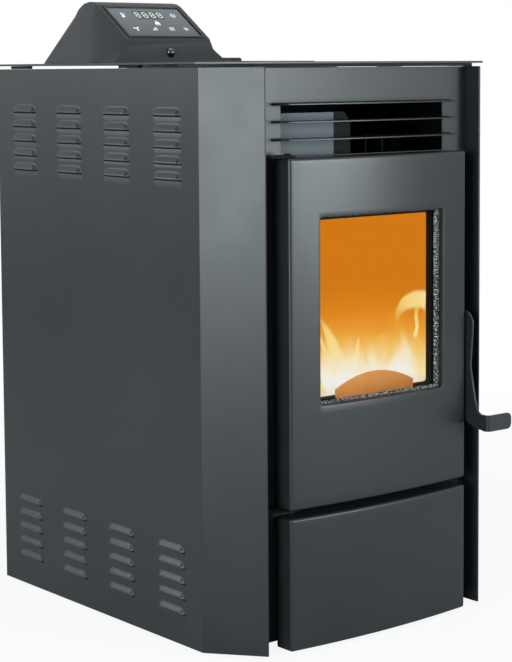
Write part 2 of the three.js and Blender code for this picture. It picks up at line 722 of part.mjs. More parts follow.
function leftSidePanel() {
  const sheet = extrude("z", ribbon(sidePanelLine(), SHEET), PANEL_LOW, PANEL_TOP);
  const flangeRear = REAR_Y - SHEET;
  const plan = [
    [-HALF_W + SHEET / 2, flangeRear],
    [-HALF_W + SHEET / 2, BEND_Y + SHEET],
    [-FIN_X - SHEET, FRONT_Y + BEND_R * 3],
    [-FIN_X - SHEET, FASCIA_Y - TOUCH],
    [-HALF_W + CHAMFER_X / 2 + TOP_FLANGE, FASCIA_Y + FIN_TAIL],
    [-HALF_W + TOP_FLANGE, BEND_Y + SHEET],
    [-HALF_W + TOP_FLANGE, flangeRear],
  ];
  const flange = extrude("z", plan, PANEL_TOP - SHEET, PANEL_TOP);
  const hoods = louvrePlaces().map(([y, z]) => louvreHood(y, z));
  const hollows = louvrePlaces().map(([y, z]) => louvreHollow(y, z));
  return cut(join(sheet, flange, ...hoods), ...hollows);
}

function mirrored(geometry) {
  return toGeometry(toSolid(geometry.clone().scale(-1, 1, 1)));
}

const sidePanel = leftSidePanel();
add("left_side_panel", sidePanel, satinPaint);
add("right_side_panel", mirrored(sidePanel), satinPaint);

function basePan() {
  const inset = SHEET + TOUCH;
  const rear = REAR_SHEET_Y - SHEET - TOUCH;
  const front = FASCIA_Y + FIN_TAIL + SHEET;
  const plan = bodyPlan(inset, front, rear);
  const hollow = bodyPlan(inset + SHEET, front - PAST, rear - SHEET);
  const rim = PAN_TOP + PAN_RIM;
  const tray = cut(extrude("z", plan, PAN_Z, rim), extrude("z", hollow, PAN_TOP, rim + PAST));
  const guide = [TRAY_HALF + TRAY_SIDE_GAP, TRAY_HALF + TRAY_SIDE_GAP + SHEET];
  const run = [FIREBOX_Y + FRAME_THICK, TRAY_REAR];
  const runner = [TRAY_HALF - RUNNER_W, guide[1]];
  const bothSides = (x, z) => [x, [-x[1], -x[0]]].map((span) => box(span, run, z));
  const guides = bothSides(guide, [PAN_TOP - PAST, PAN_TOP + GUIDE_H]);
  const runners = bothSides(runner, [PAN_TOP - PAST, TRAY_LOW - TOUCH]);
  const stems = FEET.map(([x, y]) => rod("z", x, y, FOOT_STEM_R + HINGE_RUN, 0, PAN_TOP + PAST, 12));
  return cut(join(tray, ...guides, ...runners), ...stems);
}

add("base_pan", basePan(), stovePaint);

// A levelling foot: a round sole, a threaded stem through the base pan, and a nut each side of it.
function levellingFoot() {
  const under = PAN_Z - TOUCH;
  const over = PAN_TOP + TOUCH;
  const stemEnd = over + 2 * NUT_H;
  return turned(
    [
      [0, 0],
      [FOOT_R, 0],
      [FOOT_R - SOLE_TAPER, SOLE_H],
      [FOOT_STEM_R, SOLE_H],
      [NUT_R, under - LOCK_NUT_H],
      [NUT_R, under],
      [FOOT_STEM_R, under],
      [FOOT_STEM_R, over],
      [NUT_R, over],
      [NUT_R, over + NUT_H],
      [FOOT_STEM_R, stemEnd],
      [0, stemEnd],
    ],
    FOOT_STEPS,
  );
}
const foot = levellingFoot();
["front_left", "front_right", "rear_left", "rear_right"].forEach((corner, i) => {
  add("levelling_foot_" + corner, foot, blackRubber).position.set(...FEET[i], 0);
});

function rearPanel() {
  const half = HALF_W - SHEET - TOUCH;
  const y = [REAR_SHEET_Y - SHEET, REAR_SHEET_Y];
  const sheet = box([-half, half], y, [PANEL_LOW, PANEL_TOP - SHEET - TOUCH]);
  const past = [y[0] - PAST, y[1] + PAST];
  const slots = [];
  for (let column = 0; column < VENT.columns; column += 1) {
    for (let row = 0; row < VENT.rows; row += 1) {
      const x = VENT.x + column * VENT.acrossPitch;
      const z = VENT.z + row * VENT.upPitch;
      slots.push(box([x, x + VENT.w], past, [z, z + VENT.h]));
    }
  }
  return cut(
    sheet,
    rod("y", FLUE_X, FLUE_Z, FLUE_R + PIPE_CLEAR, ...past),
    rod("y", INTAKE_X, INTAKE_Z, INTAKE_R + PIPE_CLEAR, ...past),
    box([INLET.x - TOUCH, INLET.x + INLET.w + TOUCH], past, [INLET.z - TOUCH, INLET.z + INLET.h + TOUCH]),
    ...slots,
  );
}
add("rear_panel", rearPanel(), stovePaint);

function frontFascia() {
  const y = [FASCIA_Y, FASCIA_Y + SHEET];
  const half = FIN_FACE - TOUCH;
  const sheet = box([-half, half], y, [FASCIA_BOTTOM, PANEL_TOP - TOUCH]);
  const past = [y[0] - PAST, y[1] + PAST];
  const outlet = box([-OUTLET_W / 2, OUTLET_W / 2], past, [OUTLET_LOW, OUTLET_HIGH]);
  const slitHalf = OUTLET_W / 2 + SLIT_EXTRA;
  const slits = bladeLevels().map((z) =>
    box([-slitHalf, slitHalf], past, [z - BLADE_SLIT / 2, z + BLADE_SLIT / 2]),
  );
  return cut(sheet, outlet, ...slits);
}

function bladeLevels() {
  return Array.from({ length: BLADE_COUNT }, (_, i) => OUTLET_HIGH - BLADE_SLIT / 2 - i * BLADE_PITCH);
}
add("front_fascia", frontFascia(), satinPaint);

// Points of the shallow arc that the door, the drawer and the outlet's blades share in plan.
function bow(half, side, rise, steps) {
  return Array.from({ length: steps + 1 }, (_, i) => {
    const x = -half + (2 * half * i) / steps;
    return [x, side - rise * (1 - (x / half) ** 2)];
  });
}

// One blade of the warm air outlet, pushed through its slit from behind.
function grilleBlade() {
  const half = OUTLET_W / 2 + SLIT_EXTRA - TOUCH * 2;
  const tail = FASCIA_Y + SHEET + TOUCH;
  const front = bow(half - BLADE_TAPER, FASCIA_Y - BLADE_OUT, FRONT_BOW, BOW_STEPS);
  const plan = [
    ...front,
    [half, FASCIA_Y],
    [half, tail],
    [half + BLADE_STOP, tail],
    [half + BLADE_STOP, tail + BLADE_TAIL],
    [-half - BLADE_STOP, tail + BLADE_TAIL],
    [-half - BLADE_STOP, tail],
    [-half, tail],
    [-half, FASCIA_Y],
  ];
  return extrude("z", plan, -BLADE_THICK / 2, BLADE_THICK / 2);
}
const blade = grilleBlade();
bladeLevels().forEach((z, i) => {
  add("grille_blade_" + (i + 1), blade, satinPaint).position.z = z;
});

// Folded sheet behind the outlet's left side, in two steps, that turns the air to the right.
function outletBaffle() {
  const near = FASCIA_Y + BAFFLE_BEHIND;
  const far = near + BAFFLE_STEP;
  const top = OUTLET_HIGH - BAFFLE_DROP;
  const line = [
    [-OUTLET_W / 2 - BAFFLE_PAST, near],
    [BAFFLE_BEND_X, near],
    [BAFFLE_BEND_X, far],
    [BAFFLE_END_X, far],
  ];
  const sheet = extrude("z", ribbon(line, BAFFLE_SHEET), FIREBOX_HIGH + TOUCH, top);
  const corner = [
    [BAFFLE_END_X - 2 * BAFFLE_CUT_X, top + BAFFLE_CUT_Z],
    [BAFFLE_END_X + BAFFLE_CUT_X, top - 2 * BAFFLE_CUT_Z],
    [BAFFLE_END_X + BAFFLE_CUT_X, top + BAFFLE_CUT_Z],
  ];
  return cut(sheet, extrude("y", corner, far - PAST, far + BAFFLE_SHEET + PAST));
}
add("outlet_baffle", outletBaffle(), galvanised);

// A hinge bracket: a leg up or down the frame, an arm over or under the door, and its pin and head.
function hingeBracket(arm, leg, pin, head) {
  const legX = [HINGE_X - HINGE_LEG_IN - HINGE_LEG_W, HINGE_X - HINGE_LEG_IN];
  const weld = [leg[0], Math.min(leg[1], FASCIA_BOTTOM - TOUCH * 2)];
  return [
    box([legX[0], HINGE_X + HINGE_ARM], [HINGE_Y - HINGE_ARM, FASCIA_Y - TOUCH], arm),
    box(legX, [FASCIA_Y - TOUCH - HINGE_PLATE, FASCIA_Y - TOUCH], leg),
    box(legX, [FASCIA_Y - TOUCH - PAST, FASCIA_Y + PAST], weld),
    rod("z", HINGE_X, HINGE_Y, HINGE_PIN_R, ...pin, 12),
    rod("z", HINGE_X, HINGE_Y, HINGE_HEAD_R, ...head, 12),
  ];
}

function hingeBrackets() {
  const upper = [DOOR_HIGH + HINGE_GAP, DOOR_HIGH + HINGE_GAP + HINGE_PLATE];
  const lower = [DOOR_LOW - HINGE_GAP - HINGE_PLATE, DOOR_LOW - HINGE_GAP];
  const crown = upper[1] + HINGE_HEAD_H;
  const sole = lower[0] - HINGE_HEAD_H;
  return [
    ...hingeBracket(
      upper,
      [DOOR_HIGH - HINGE_LEG_L, upper[1]],
      [DOOR_HIGH - HINGE_PIN_IN, crown],
      [upper[1] - PAST, crown],
    ),
    ...hingeBracket(
      lower,
      [lower[0], DOOR_LOW + HINGE_LEG_L],
      [sole, DOOR_LOW + HINGE_PIN_IN],
      [sole, lower[0] + PAST],
    ),
  ];
}

// The angle whose shelf the latch lever's nose sits under.
function latchKeeper() {
  const x = [LEVER_X - KEEPER_IN, LEVER_X - KEEPER_IN + KEEPER_W];
  const low = LEVER_Z + LEVER_NOSE_TOP + KEEPER_GAP;
  const shelf = box(x, [LEVER_Y + KEEPER_BACK, FASCIA_Y + PAST], [low, low + HINGE_PLATE]);
  const leg = box(x, [FASCIA_Y - HINGE_PLATE, FASCIA_Y + PAST], [low, low + KEEPER_H]);
  return [shelf, leg];
}

// The frame that the door closes on, with its hinge brackets and the latch's keeper welded on.
function frontFrame() {
  const half = FIN_FACE - TOUCH;
  const y = [FASCIA_Y, FASCIA_Y + FRAME_THICK];
  const past = [y[0] - PAST, y[1] + PAST];
  const plate = box([-half, half], y, [PAN_TOP + TOUCH, FASCIA_BOTTOM - TOUCH]);
  const throat = box([-THROAT_W / 2, THROAT_W / 2], past, [THROAT_LOW, THROAT_HIGH]);
  const bay = box([-TRAY_HALF - BAY_GAP, TRAY_HALF + BAY_GAP], past, [0, TRAY_HIGH + BAY_GAP]);
  return join(cut(plate, throat, bay), ...hingeBrackets(), ...latchKeeper());
}
add("front_frame", frontFrame(), stovePaint);

// ---------------------------------------------------------------- top

function topPlate() {
  const plan = bodyPlan(-TOP_OVERHANG, FRONT_Y - TOP_OVERHANG, REAR_Y);
  const plate = extrude("z", plan, TOP_LOW, TOP_HIGH);
  const past = [TOP_LOW - PAST, TOP_HIGH + PAST];
  const mouth = box(MOUTH_X, MOUTH_Y, past);
  const cableHole = rod("z", POD_X, POD_FRONT + POD_D / 2, CABLE_HOLE_R, ...past, 16);
  const knuckles = lidKnuckles([0, 2, 4]);
  return cut(join(cut(plate, mouth, cableHole), ...knuckles), lidPinBore());
}

// Knuckles of the lid's hinge, in equal lengths along the pin: the even ones stand on the top plate.
function lidKnuckles(places) {
  return places.map((place) => {
    const start = KNUCKLES_X[0] + place * KNUCKLE_L;
    const x = [start + TOUCH, start + KNUCKLE_L - TOUCH];
    const barrel = rod("x", LID_PIN_Y, LID_PIN_Z, LID_KNUCKLE_R, ...x, 12);
    const onTop = place % 2 === 0;
    const neck = onTop
      ? box(x, [LID_PIN_Y - LID_PIN_R, LID_PIN_Y + LID_KNUCKLE_R], [TOP_HIGH - PAST, LID_PIN_Z])
      : box(x, [LID_Y + LID_D - LID_RELIEF - PAST, LID_PIN_Y], [LID_LOW + TOUCH, LID_LOW + LID_THICK]);
    return join(barrel, neck);
  });
}

function lidPinBore() {
  return rod("x", LID_PIN_Y, LID_PIN_Z, LID_PIN_R + HINGE_RUN, LID_X - PAST, LID_X + LID_W + PAST, 12);
}
add("top_plate", topPlate(), satinPaint);

const spacer = box([0, SPACER.x], [0, SPACER.y], [PANEL_TOP + TOUCH, TOP_LOW - TOUCH]);
for (const [side, x] of [
  ["left", -HALF_W + SPACER.in],
  ["right", HALF_W - SPACER.in - SPACER.x],
]) {
  add("top_spacer_" + side + "_rear", spacer, blackRubber).position.set(x, SPACER.rear, 0);
  add("top_spacer_" + side + "_middle", spacer, blackRubber).position.set(x, SPACER.middle, 0);
}

// The rubber strip that closes the gap below the top plate, round the front and along both sides.
function frontTopSeal() {
  const path = bodyPlan(TOP_SEAL_IN, FRONT_Y + TOP_SEAL_FRONT, REAR_Y - TOP_SEAL_END);
  return extrude("z", ribbon(path, TOP_SEAL_W), PANEL_TOP + TOUCH, TOP_LOW - TOUCH);
}
add("front_top_seal", frontTopSeal(), blackRubber);

// ---------------------------------------------------------------- controls

// The housing as a skin between its foot, which is a flat line at each end, and its roof line.
function podSkin(inset) {
  const count = POD_ROOF.length;
  const half = POD_W / 2 - inset;
  const roofHalf = POD_ROOF_W / 2 - inset;
  const depth = POD_D - 2 * inset;
  const low = inset > 0 ? POD_LOW - PAST : POD_LOW;
  const roofInset = inset > 0 ? POD_ROOF_WALL : 0;
  const ring = (lift) => {
    const x = half + (roofHalf - half) * lift;
    return POD_ROOF.map(([back, up], i) => {
      const footBack = inset + (depth * i) / (count - 1);
      const y = POD_FRONT + footBack + (back - footBack) * lift;
      const z = POD_LOW + (up - roofInset) * lift;
      return [x, y, Math.max(z, low + POD_LOWEST)];
    });
  };
  const foot = [
    [POD_FRONT + POD_D - inset, low],
    [POD_FRONT + inset, low],
  ];
  const side = POD_LIFTS.map((lift) => ring(lift));
  const section = (points, sign) => [
    ...points.map(([x, y, z]) => [POD_X + sign * x, y, z]),
    ...foot.map(([y, z]) => [POD_X + sign * points[0][0], y, z]),
  ];
  const left = side.map((points) => section(points, -1));
  const right = [...side].reverse().map((points) => section(points, 1));
  return loft([...left, ...right]);
}

// A box lying in the display's slope: across, up the slope and through it, measured from the outside.
function onSlope(across, along, through) {
  const [low, high] = [POD_ROOF[SLOPE_LOW], POD_ROOF[SLOPE_HIGH]];
  const tilt = Math.atan2(high[1] - low[1], high[0] - low[0]);
  const middle = [(low[0] + high[0]) / 2, (low[1] + high[1]) / 2];
  const slab = box([-across / 2, across / 2], [-along / 2, along / 2], [-through[1], -through[0]]);
  return slab.rotateX(tilt).translate(POD_X, POD_FRONT + middle[0], POD_LOW + middle[1]);
}

function controlHousing() {
  const shell = cut(podSkin(0), podSkin(POD_WALL));
  const recess = onSlope(DISPLAY_W, DISPLAY_L, [-DISPLAY_CLEAR, DISPLAY_DEEP]);
  const dome = rod("y", POD_X, DOME_Z, DOME_R + TOUCH, POD_FRONT - PAST, POD_FRONT + DOME_HOLE, 16);
  return cut(shell, recess, dome);
}
add("control_housing", controlHousing(), housingPlastic);

function displayBezel() {
  const outer = onSlope(DISPLAY_W - 2 * TOUCH, DISPLAY_L - 2 * TOUCH, [-BEZEL_PROUD, DISPLAY_DEEP - TOUCH]);
  const opening = onSlope(DISPLAY_W - BEZEL_RIM, DISPLAY_L - BEZEL_RIM, [-DISPLAY_CLEAR, PANE_BACK]);
  return cut(outer, opening);
}
add("display_bezel", displayBezel(), darkPlastic);

function displayPane() {
  const less = BEZEL_RIM + 2 * TOUCH;
  return onSlope(DISPLAY_W - less, DISPLAY_L - less, [PANE_FACE, PANE_BACK - TOUCH]);
}
add("display_glass", displayPane(), displayGlass);

// The round dark lens of the remote control's receiver.
function receiverDome() {
  return turned([[0, -DOME_TAIL], [DOME_R, -DOME_TAIL], ...DOME_NOSE], 16).rotateX(Math.PI / 2);
}
add("receiver_dome", receiverDome(), darkPlastic).position.set(POD_X, POD_FRONT + DOME_SEAT, DOME_Z);

// ---------------------------------------------------------------- hopper

// Something turned about +Z through the origin, laid along the auger's line.
function alongAuger(geometry) {
  return geometry.rotateX(Math.PI / 2 - AUGER_TILT).translate(0, AUGER_Y, AUGER_Z);
}

// The round way through the hopper's neck and the chute's head for the auger tube.
function tubeSeat() {
  return alongAuger(rod("z", 0, 0, AUGER_TUBE_R + TOUCH, -TUBE_SEAT_PAST, AUGER_L + TUBE_SEAT_PAST, 20));
}

function hopperForm(inset, low, high) {
  const ring = (x, y, z) => [
    [x[0] + inset, y[0] + inset, z],
    [x[1] - inset, y[0] + inset, z],
    [x[1] - inset, y[1] - inset, z],
    [x[0] + inset, y[1] - inset, z],
  ];
  return loft([
    ring(HOPPER_NECK.x, HOPPER_NECK.y, HOPPER_NECK.z + low),
    ring(HOPPER_NECK.x, HOPPER_NECK.y, HOPPER_NECK.z + HOPPER_NECK_H),
    ring(HOPPER_X, HOPPER_Y, HOPPER_BEND_Z),
    ring(HOPPER_X, HOPPER_Y, TOP_LOW - TOUCH + high),
  ]);
}

function hopper() {
  const shell = cut(hopperForm(0, 0, 0), hopperForm(HOPPER_WALL, -PAST, PAST));
  return cut(shell, tubeSeat());
}
add("hopper", hopper(), galvanised);

function hopperLid() {
  const plate = box([LID_X, LID_X + LID_W], [LID_Y, LID_Y + LID_D], [LID_LOW, LID_LOW + LID_THICK]);
  const edge = LID_Y + LID_D;
  const relief = box(grown(KNUCKLES_X, LID_PIN_PAST), [edge - LID_RELIEF, edge + PAST], [0, LID_PIN_Z]);
  return cut(join(cut(plate, relief), ...lidKnuckles([1, 3])), lidPinBore());
}
add("hopper_lid", hopperLid(), satinPaint);

function lidPin() {
  return rod("x", LID_PIN_Y, LID_PIN_Z, LID_PIN_R, ...grown(KNUCKLES_X, LID_PIN_PAST), 12);
}
add("lid_hinge_pin", lidPin(), bareSteel);

function lidSeal() {
  const outer = [grown(MOUTH_X, -SEAL_IN), grown(MOUTH_Y, -SEAL_IN)];
  const inner = outer.map((span) => grown(span, -SEAL_W));
  const hole = roundedRectangle(...inner, SEAL_R - SEAL_W).reverse();
  return extrude("z", roundedRectangle(...outer, SEAL_R), LID_LOW - TOUCH - SEAL_H, LID_LOW - TOUCH, hole);
}
add("lid_seal", lidSeal(), blackRubber);

// ---------------------------------------------------------------- feed

function augerTube() {
  const tube = alongAuger(
    pipe("z", 0, 0, AUGER_TUBE_R, AUGER_R + AUGER_RUN, 0, AUGER_L + AUGER_TUBE_MORE, 20),
  );
  const feedZ = FEED_Z.map((z) => AUGER_Z + z);
  const feed = box([-FEED_HALF, FEED_HALF], grown(HOPPER_NECK.y, -FEED_IN), feedZ);
  const drop = box([-DROP_HALF, DROP_HALF], middleSpan(CHUTE_Y, DROP_LONG), [AUGER_Z, AUGER_Z + DROP_H]);
  return cut(tube, feed, drop);
}
add("auger_tube", augerTube(), stovePaint);

// The screw: one unbroken helical flight round a shaft, built upright.
function auger() {
  const steps = Math.floor((AUGER_STEPS * (AUGER_L - FLIGHT_SHORT)) / AUGER_PITCH);
  const inside = AUGER_SHAFT_R - PAST;
  const rings = Array.from({ length: steps + 1 }, (_, i) => {
    const turn = (2 * Math.PI * i) / AUGER_STEPS;
    const low = FLIGHT_START + (AUGER_PITCH * i) / AUGER_STEPS;
    const high = low + FLIGHT_THICK;
    const at = (radius, z) => [radius * Math.cos(turn), radius * Math.sin(turn), z];
    return [at(inside, low), at(AUGER_R, low), at(AUGER_R, high), at(inside, high)];
  });
  return join(rod("z", 0, 0, AUGER_SHAFT_R, TOUCH, AUGER_L, 12), loft(rings));
}
const augerMount = new THREE.Group();
augerMount.position.set(0, AUGER_Y, AUGER_Z);
augerMount.rotation.x = Math.PI / 2 - AUGER_TILT;
stove.add(augerMount);
add("auger", auger(), bareSteel, augerMount);

function augerMotor() {
  const flange = rod("z", 0, 0, AUGER_TUBE_R, -GEAR_FLANGE, -TOUCH, 16);
  const gearbox = box(GEARBOX.x, GEARBOX.y, GEARBOX.z);
  const motor = rod("z", GEAR_MOTOR.x, 0, GEAR_MOTOR.r, ...GEAR_MOTOR.z, 16);
  return join(flange, gearbox, motor);
}
add("auger_motor", augerMotor(), bareSteel, augerMount);

// Square steel chute that carries the pellets from the screw's end through the firebox's back wall.
function pelletChute() {
  const ring = (half, y, z, lean) => [
    [-half, y - half, z + half * lean],
    [half, y - half, z + half * lean],
    [half, y + half, z - half * lean],
    [-half, y + half, z - half * lean],
  ];
  const end = FIREBOX_REAR + TOUCH;
  const form = (half, past) => {
    const lean = (CHUTE_BEND - CHUTE_PORT_Z) / (CHUTE_Y - end);
    const foot = [
      [-half, end - past, CHUTE_PORT_Z + half - past * lean],
      [half, end - past, CHUTE_PORT_Z + half - past * lean],
      [half, end - past, CHUTE_PORT_Z - half - past * lean],
      [-half, end - past, CHUTE_PORT_Z - half - past * lean],
    ];
    const head = ring(half, CHUTE_Y, CHUTE_TOP + past, 0);
    const bend = ring(half, CHUTE_Y, CHUTE_BEND, CHUTE_MITRE);
    return loft([head, bend, foot]);
  };
  const shell = cut(form(CHUTE_HALF, 0), form(CHUTE_HALF - CHUTE_WALL, PAST));
  return cut(shell, tubeSeat());
}
add("pellet_chute", pelletChute(), stovePaint);

// ---------------------------------------------------------------- firebox

// The square way through the firebox's back for the pellets.
function chuteOpening(y) {
  const half = CHUTE_HALF - CHUTE_WALL;
  return box([-half, half], y, [CHUTE_PORT_Z - half, CHUTE_PORT_Z + half]);
}

function fireboxShell() {
  const half = FIREBOX_W / 2;
  const y = [FIREBOX_Y, FIREBOX_REAR];
  const shell = box([-half, half], y, [FIREBOX_LOW, FIREBOX_HIGH]);
  const inner = half - FIREBOX_WALL;
  const hollow = box(
    [-inner, inner],
    [y[0] - PAST, y[1] - FIREBOX_WALL],
    [FIREBOX_LOW + FIREBOX_WALL, FIREBOX_HIGH - FIREBOX_WALL],
  );
  const rearPast = [y[1] - FIREBOX_WALL - PAST, y[1] + PAST];
  const chutePort = chuteOpening(rearPast);
  const smokePort = rod("y", SMOKE_X, SMOKE_Z, DUCT_R - PIPE_WALL, ...rearPast);
  const airPort = rod("y", INTAKE_X, INTAKE_Z, INTAKE_R + TOUCH, ...rearPast, 20);
  const slotY = ASH_SLOT.y.map((back) => FIREBOX_Y + back);
  const slotZ = [FIREBOX_LOW - PAST, FIREBOX_LOW + FIREBOX_WALL + PAST];
  const ashSlot = box([-ASH_SLOT.half, ASH_SLOT.half], slotY, slotZ);
  return cut(shell, hollow, chutePort, smokePort, airPort, ashSlot);
}
add("firebox_shell", fireboxShell(), stovePaint);

// Cast back plate with upright ribs, and openings over the chute's, smoke's and air's ports.
function fireboxBackPlate() {
  const rear = FIREBOX_REAR - FIREBOX_WALL - TOUCH;
  const half = FIREBOX_W / 2 - FIREBOX_WALL - TOUCH * 3;
  const z = [FIREBOX_LOW + FIREBOX_WALL + TOUCH, FIREBOX_HIGH - BACK_PLATE_DROP];
  const plate = box([-half, half], [rear - BACK_PLATE, rear], z);
  const ribs = [];
  for (let x = RIB_PITCH; x < half - RIB_THICK; x += RIB_PITCH) {
    for (const middle of [-x, x]) {
      const across = [middle - RIB_THICK / 2, middle + RIB_THICK / 2];
      const out = [rear - BACK_PLATE - RIB_OUT, rear - BACK_PLATE + PAST];
      ribs.push(box(across, out, [CHUTE_PORT_Z + RIB_ABOVE_PORT, z[1] - RIB_OUT]));
    }
  }
  const past = [rear - BACK_PLATE - PAST, rear + PAST];
  const chute = chuteOpening(past);
  const smoke = rod("y", SMOKE_X, SMOKE_Z, DUCT_R - PIPE_WALL, ...past);
  const air = rod("y", INTAKE_X, INTAKE_Z, INTAKE_R + PIPE_CLEAR, ...past, 20);
  return cut(join(plate, ...ribs), chute, smoke, air);
}
add("firebox_back_plate", fireboxBackPlate(), castIron);

// Ribbed heat exchanger on the firebox's top, in the warm air's way to the outlet.
function heatExchanger() {
  const low = FIREBOX_HIGH + TOUCH;
  const y = [FIREBOX_Y + EXCHANGER.front, FIREBOX_REAR - EXCHANGER.rear];
  const half = FIREBOX_W / 2 - EXCHANGER.in;
  const plate = box([-half, half], y, [low, low + EXCHANGER.thick]);
  const pitch = (2 * (half - EXCHANGER.edge)) / (EXCHANGER.fins - 1);
  const fins = Array.from({ length: EXCHANGER.fins }, (_, i) => {
    const x = middleSpan(EXCHANGER.edge - half + i * pitch, EXCHANGER.thick);
    return box(x, y, [low + EXCHANGER.thick - PAST, low + EXCHANGER.high]);
  });
  return join(plate, ...fins);
}
add("heat_exchanger", heatExchanger(), castIron);

// The burn pot's cast cup: square in plan, narrower at its foot, with a grate of air holes.
function burnPot() {
  const ring = (half, z) => [
    [-half, POT_Y - half * POT_DEPTH, z],
    [half, POT_Y - half * POT_DEPTH, z],
    [half, POT_Y + half * POT_DEPTH, z],
    [-half, POT_Y + half * POT_DEPTH, z],
  ];
  const form = (inset, low, past) => {
    return loft([ring(POT.foot - inset, low), ring(POT.half - inset, POT.high + past)]);
  };
  const lip = POT.half + POT.lip;
  const rim = box(
    [-lip, lip],
    [POT_Y - lip * POT_DEPTH, POT_Y + lip * POT_DEPTH],
    [POT.high - POT.wall, POT.high],
  );
  const through = [POT.low - PAST, POT.low + POT.floor + PAST];
  const holes = POT_HOLE_COLUMNS.flatMap((x) =>
    POT_HOLE_ROWS.map((y) => rod("z", x, POT_Y + y, POT_HOLE_R, ...through, 8)),
  );
  return cut(join(form(0, POT.low, 0), rim), form(POT.wall, POT.low + POT.floor, PAST), ...holes);
}
add("burn_pot", burnPot(), castIron);

// Welded air box on the firebox's floor that the pot drops into.
function burnPotHolder() {
  const floor = FIREBOX_LOW + FIREBOX_WALL + TOUCH;
  const half = POT.half + HOLDER_GAP;
  const y = [POT_Y - half * POT_DEPTH, POT_Y + half * POT_DEPTH];
  const wall = HOLDER_WALL;
  const shell = box([-half, half], y, [floor, POT.high - POT.wall - TOUCH]);
  const hollow = box([-half + wall, half - wall], [y[0] + wall, y[1] - wall], [floor + wall, POT.high]);
  const rearWall = [y[1] - wall - PAST, y[1] + PAST];
  const airHole = rod("y", 0, floor + HOLDER_AIR_UP, HOLDER_AIR_R, ...rearWall, 16);
  const igniterHole = rod("y", 0, IGNITER_Z, IGNITER_HOLE_R, ...rearWall, 12);
  return cut(shell, hollow, airHole, igniterHole);
}
add("burn_pot_holder", burnPotHolder(), castIron);

// The electric igniter: a rod that points at the pot's back, with a thicker socket behind.
function igniter() {
  const start = POT_Y + POT.foot * POT_DEPTH + IGNITER_GAP;
  const end = FIREBOX_REAR - FIREBOX_WALL - BACK_PLATE - TOUCH * 2;
  return join(
    rod("y", 0, IGNITER_Z, IGNITER_R, start, end, 12),
    rod("y", 0, IGNITER_Z, SOCKET_R, end - SOCKET_L, end, 12),
  );
}
add("igniter", igniter(), bareSteel);

// ---------------------------------------------------------------- air and smoke

// A round tube along a path, with its bore.
function bentPipe(points, outer, inner, steps = 7) {
  const path = new THREE.CurvePath();
  const at = points.map((point) => new THREE.Vector3(...point));
  path.add(new THREE.LineCurve3(at[0], at[1]));
  path.add(new THREE.QuadraticBezierCurve3(at[1], at[2], at[3]));
  path.add(new THREE.LineCurve3(at[3], at[4]));
  const corners = (radius) => circle(0, 0, radius, 12).map(([u, v]) => new THREE.Vector2(u, v));
  const shape = new THREE.Shape(corners(outer));
  shape.holes = [new THREE.Path(corners(inner))];
  return new THREE.ExtrudeGeometry(shape, { extrudePath: path, steps, bevelEnabled: false });
}

function smokeDuct() {
  const start = FIREBOX_REAR + TOUCH;
  return bentPipe(
    [
      [SMOKE_X, start, SMOKE_Z],
      [SMOKE_X, start + DUCT_STRAIGHT, SMOKE_Z],
      [SMOKE_X, BLOWER.y, SMOKE_Z],
      [SMOKE_X, BLOWER.y, BLOWER.z + DUCT_BEND],
      [SMOKE_X, BLOWER.y, BLOWER.z + DUCT_R + PIPE_WALL],
    ],
    DUCT_R,
    DUCT_R - PIPE_WALL,
  );
}

// The box that turns the smoke from the duct into the blower's eye.
function smokeCollector() {
  const around = DUCT_R + COLLECTOR_GAP;
  const x = [BLOWER.x + BLOWER.half + TOUCH, SMOKE_X + around];
  const y = [BLOWER.y - around, BLOWER.y + around];
  const z = [BLOWER.z - around, BLOWER.z + DUCT_R + COLLECTOR_DROP];
  const hollow = box(...[x, y, z].map((span) => grown(span, -PIPE_WALL)));
  const bore = DUCT_R - PIPE_WALL;
  const eye = rod("x", BLOWER.y, BLOWER.z, bore, x[0] - PAST, x[0] + PIPE_WALL + PAST);
  const top = rod("z", SMOKE_X, BLOWER.y, bore, z[1] - PIPE_WALL - PAST, z[1] + PAST);
  return cut(box(x, y, z), hollow, eye, top);
}
add("smoke_duct", join(smokeDuct(), smokeCollector()), galvanised);

function exhaustHousing() {
  const x = [BLOWER.x - BLOWER.half, BLOWER.x + BLOWER.half];
  const wall = BLOWER_WALL;
  const neckEnd = FLUE_START + BLOWER_NECK;
  const scroll = rod("x", BLOWER.y, BLOWER.z, BLOWER.r, ...x, 20);
  const neck = rod("y", FLUE_X, FLUE_Z, BLOWER_OUTLET_R, BLOWER.y, neckEnd, 16);
  const chamber = rod("x", BLOWER.y, BLOWER.z, BLOWER.r - wall, ...grown(x, -wall), 20);
  const throat = rod("y", FLUE_X, FLUE_Z, BLOWER_OUTLET_R - wall, BLOWER.y, neckEnd + PAST, 16);
  const eye = rod("x", BLOWER.y, BLOWER.z, DUCT_R - PIPE_WALL, x[1] - wall - PAST, x[1] + PAST);
  const shaftWall = [x[0] - PAST, x[0] + wall + PAST];
  const shaftHole = rod("x", BLOWER.y, BLOWER.z, SHAFT_R + 2 * SHAFT_RUN, ...shaftWall, 12);
  return cut(join(scroll, neck), chamber, throat, eye, shaftHole);
}
add("exhaust_housing", exhaustHousing(), castIron);

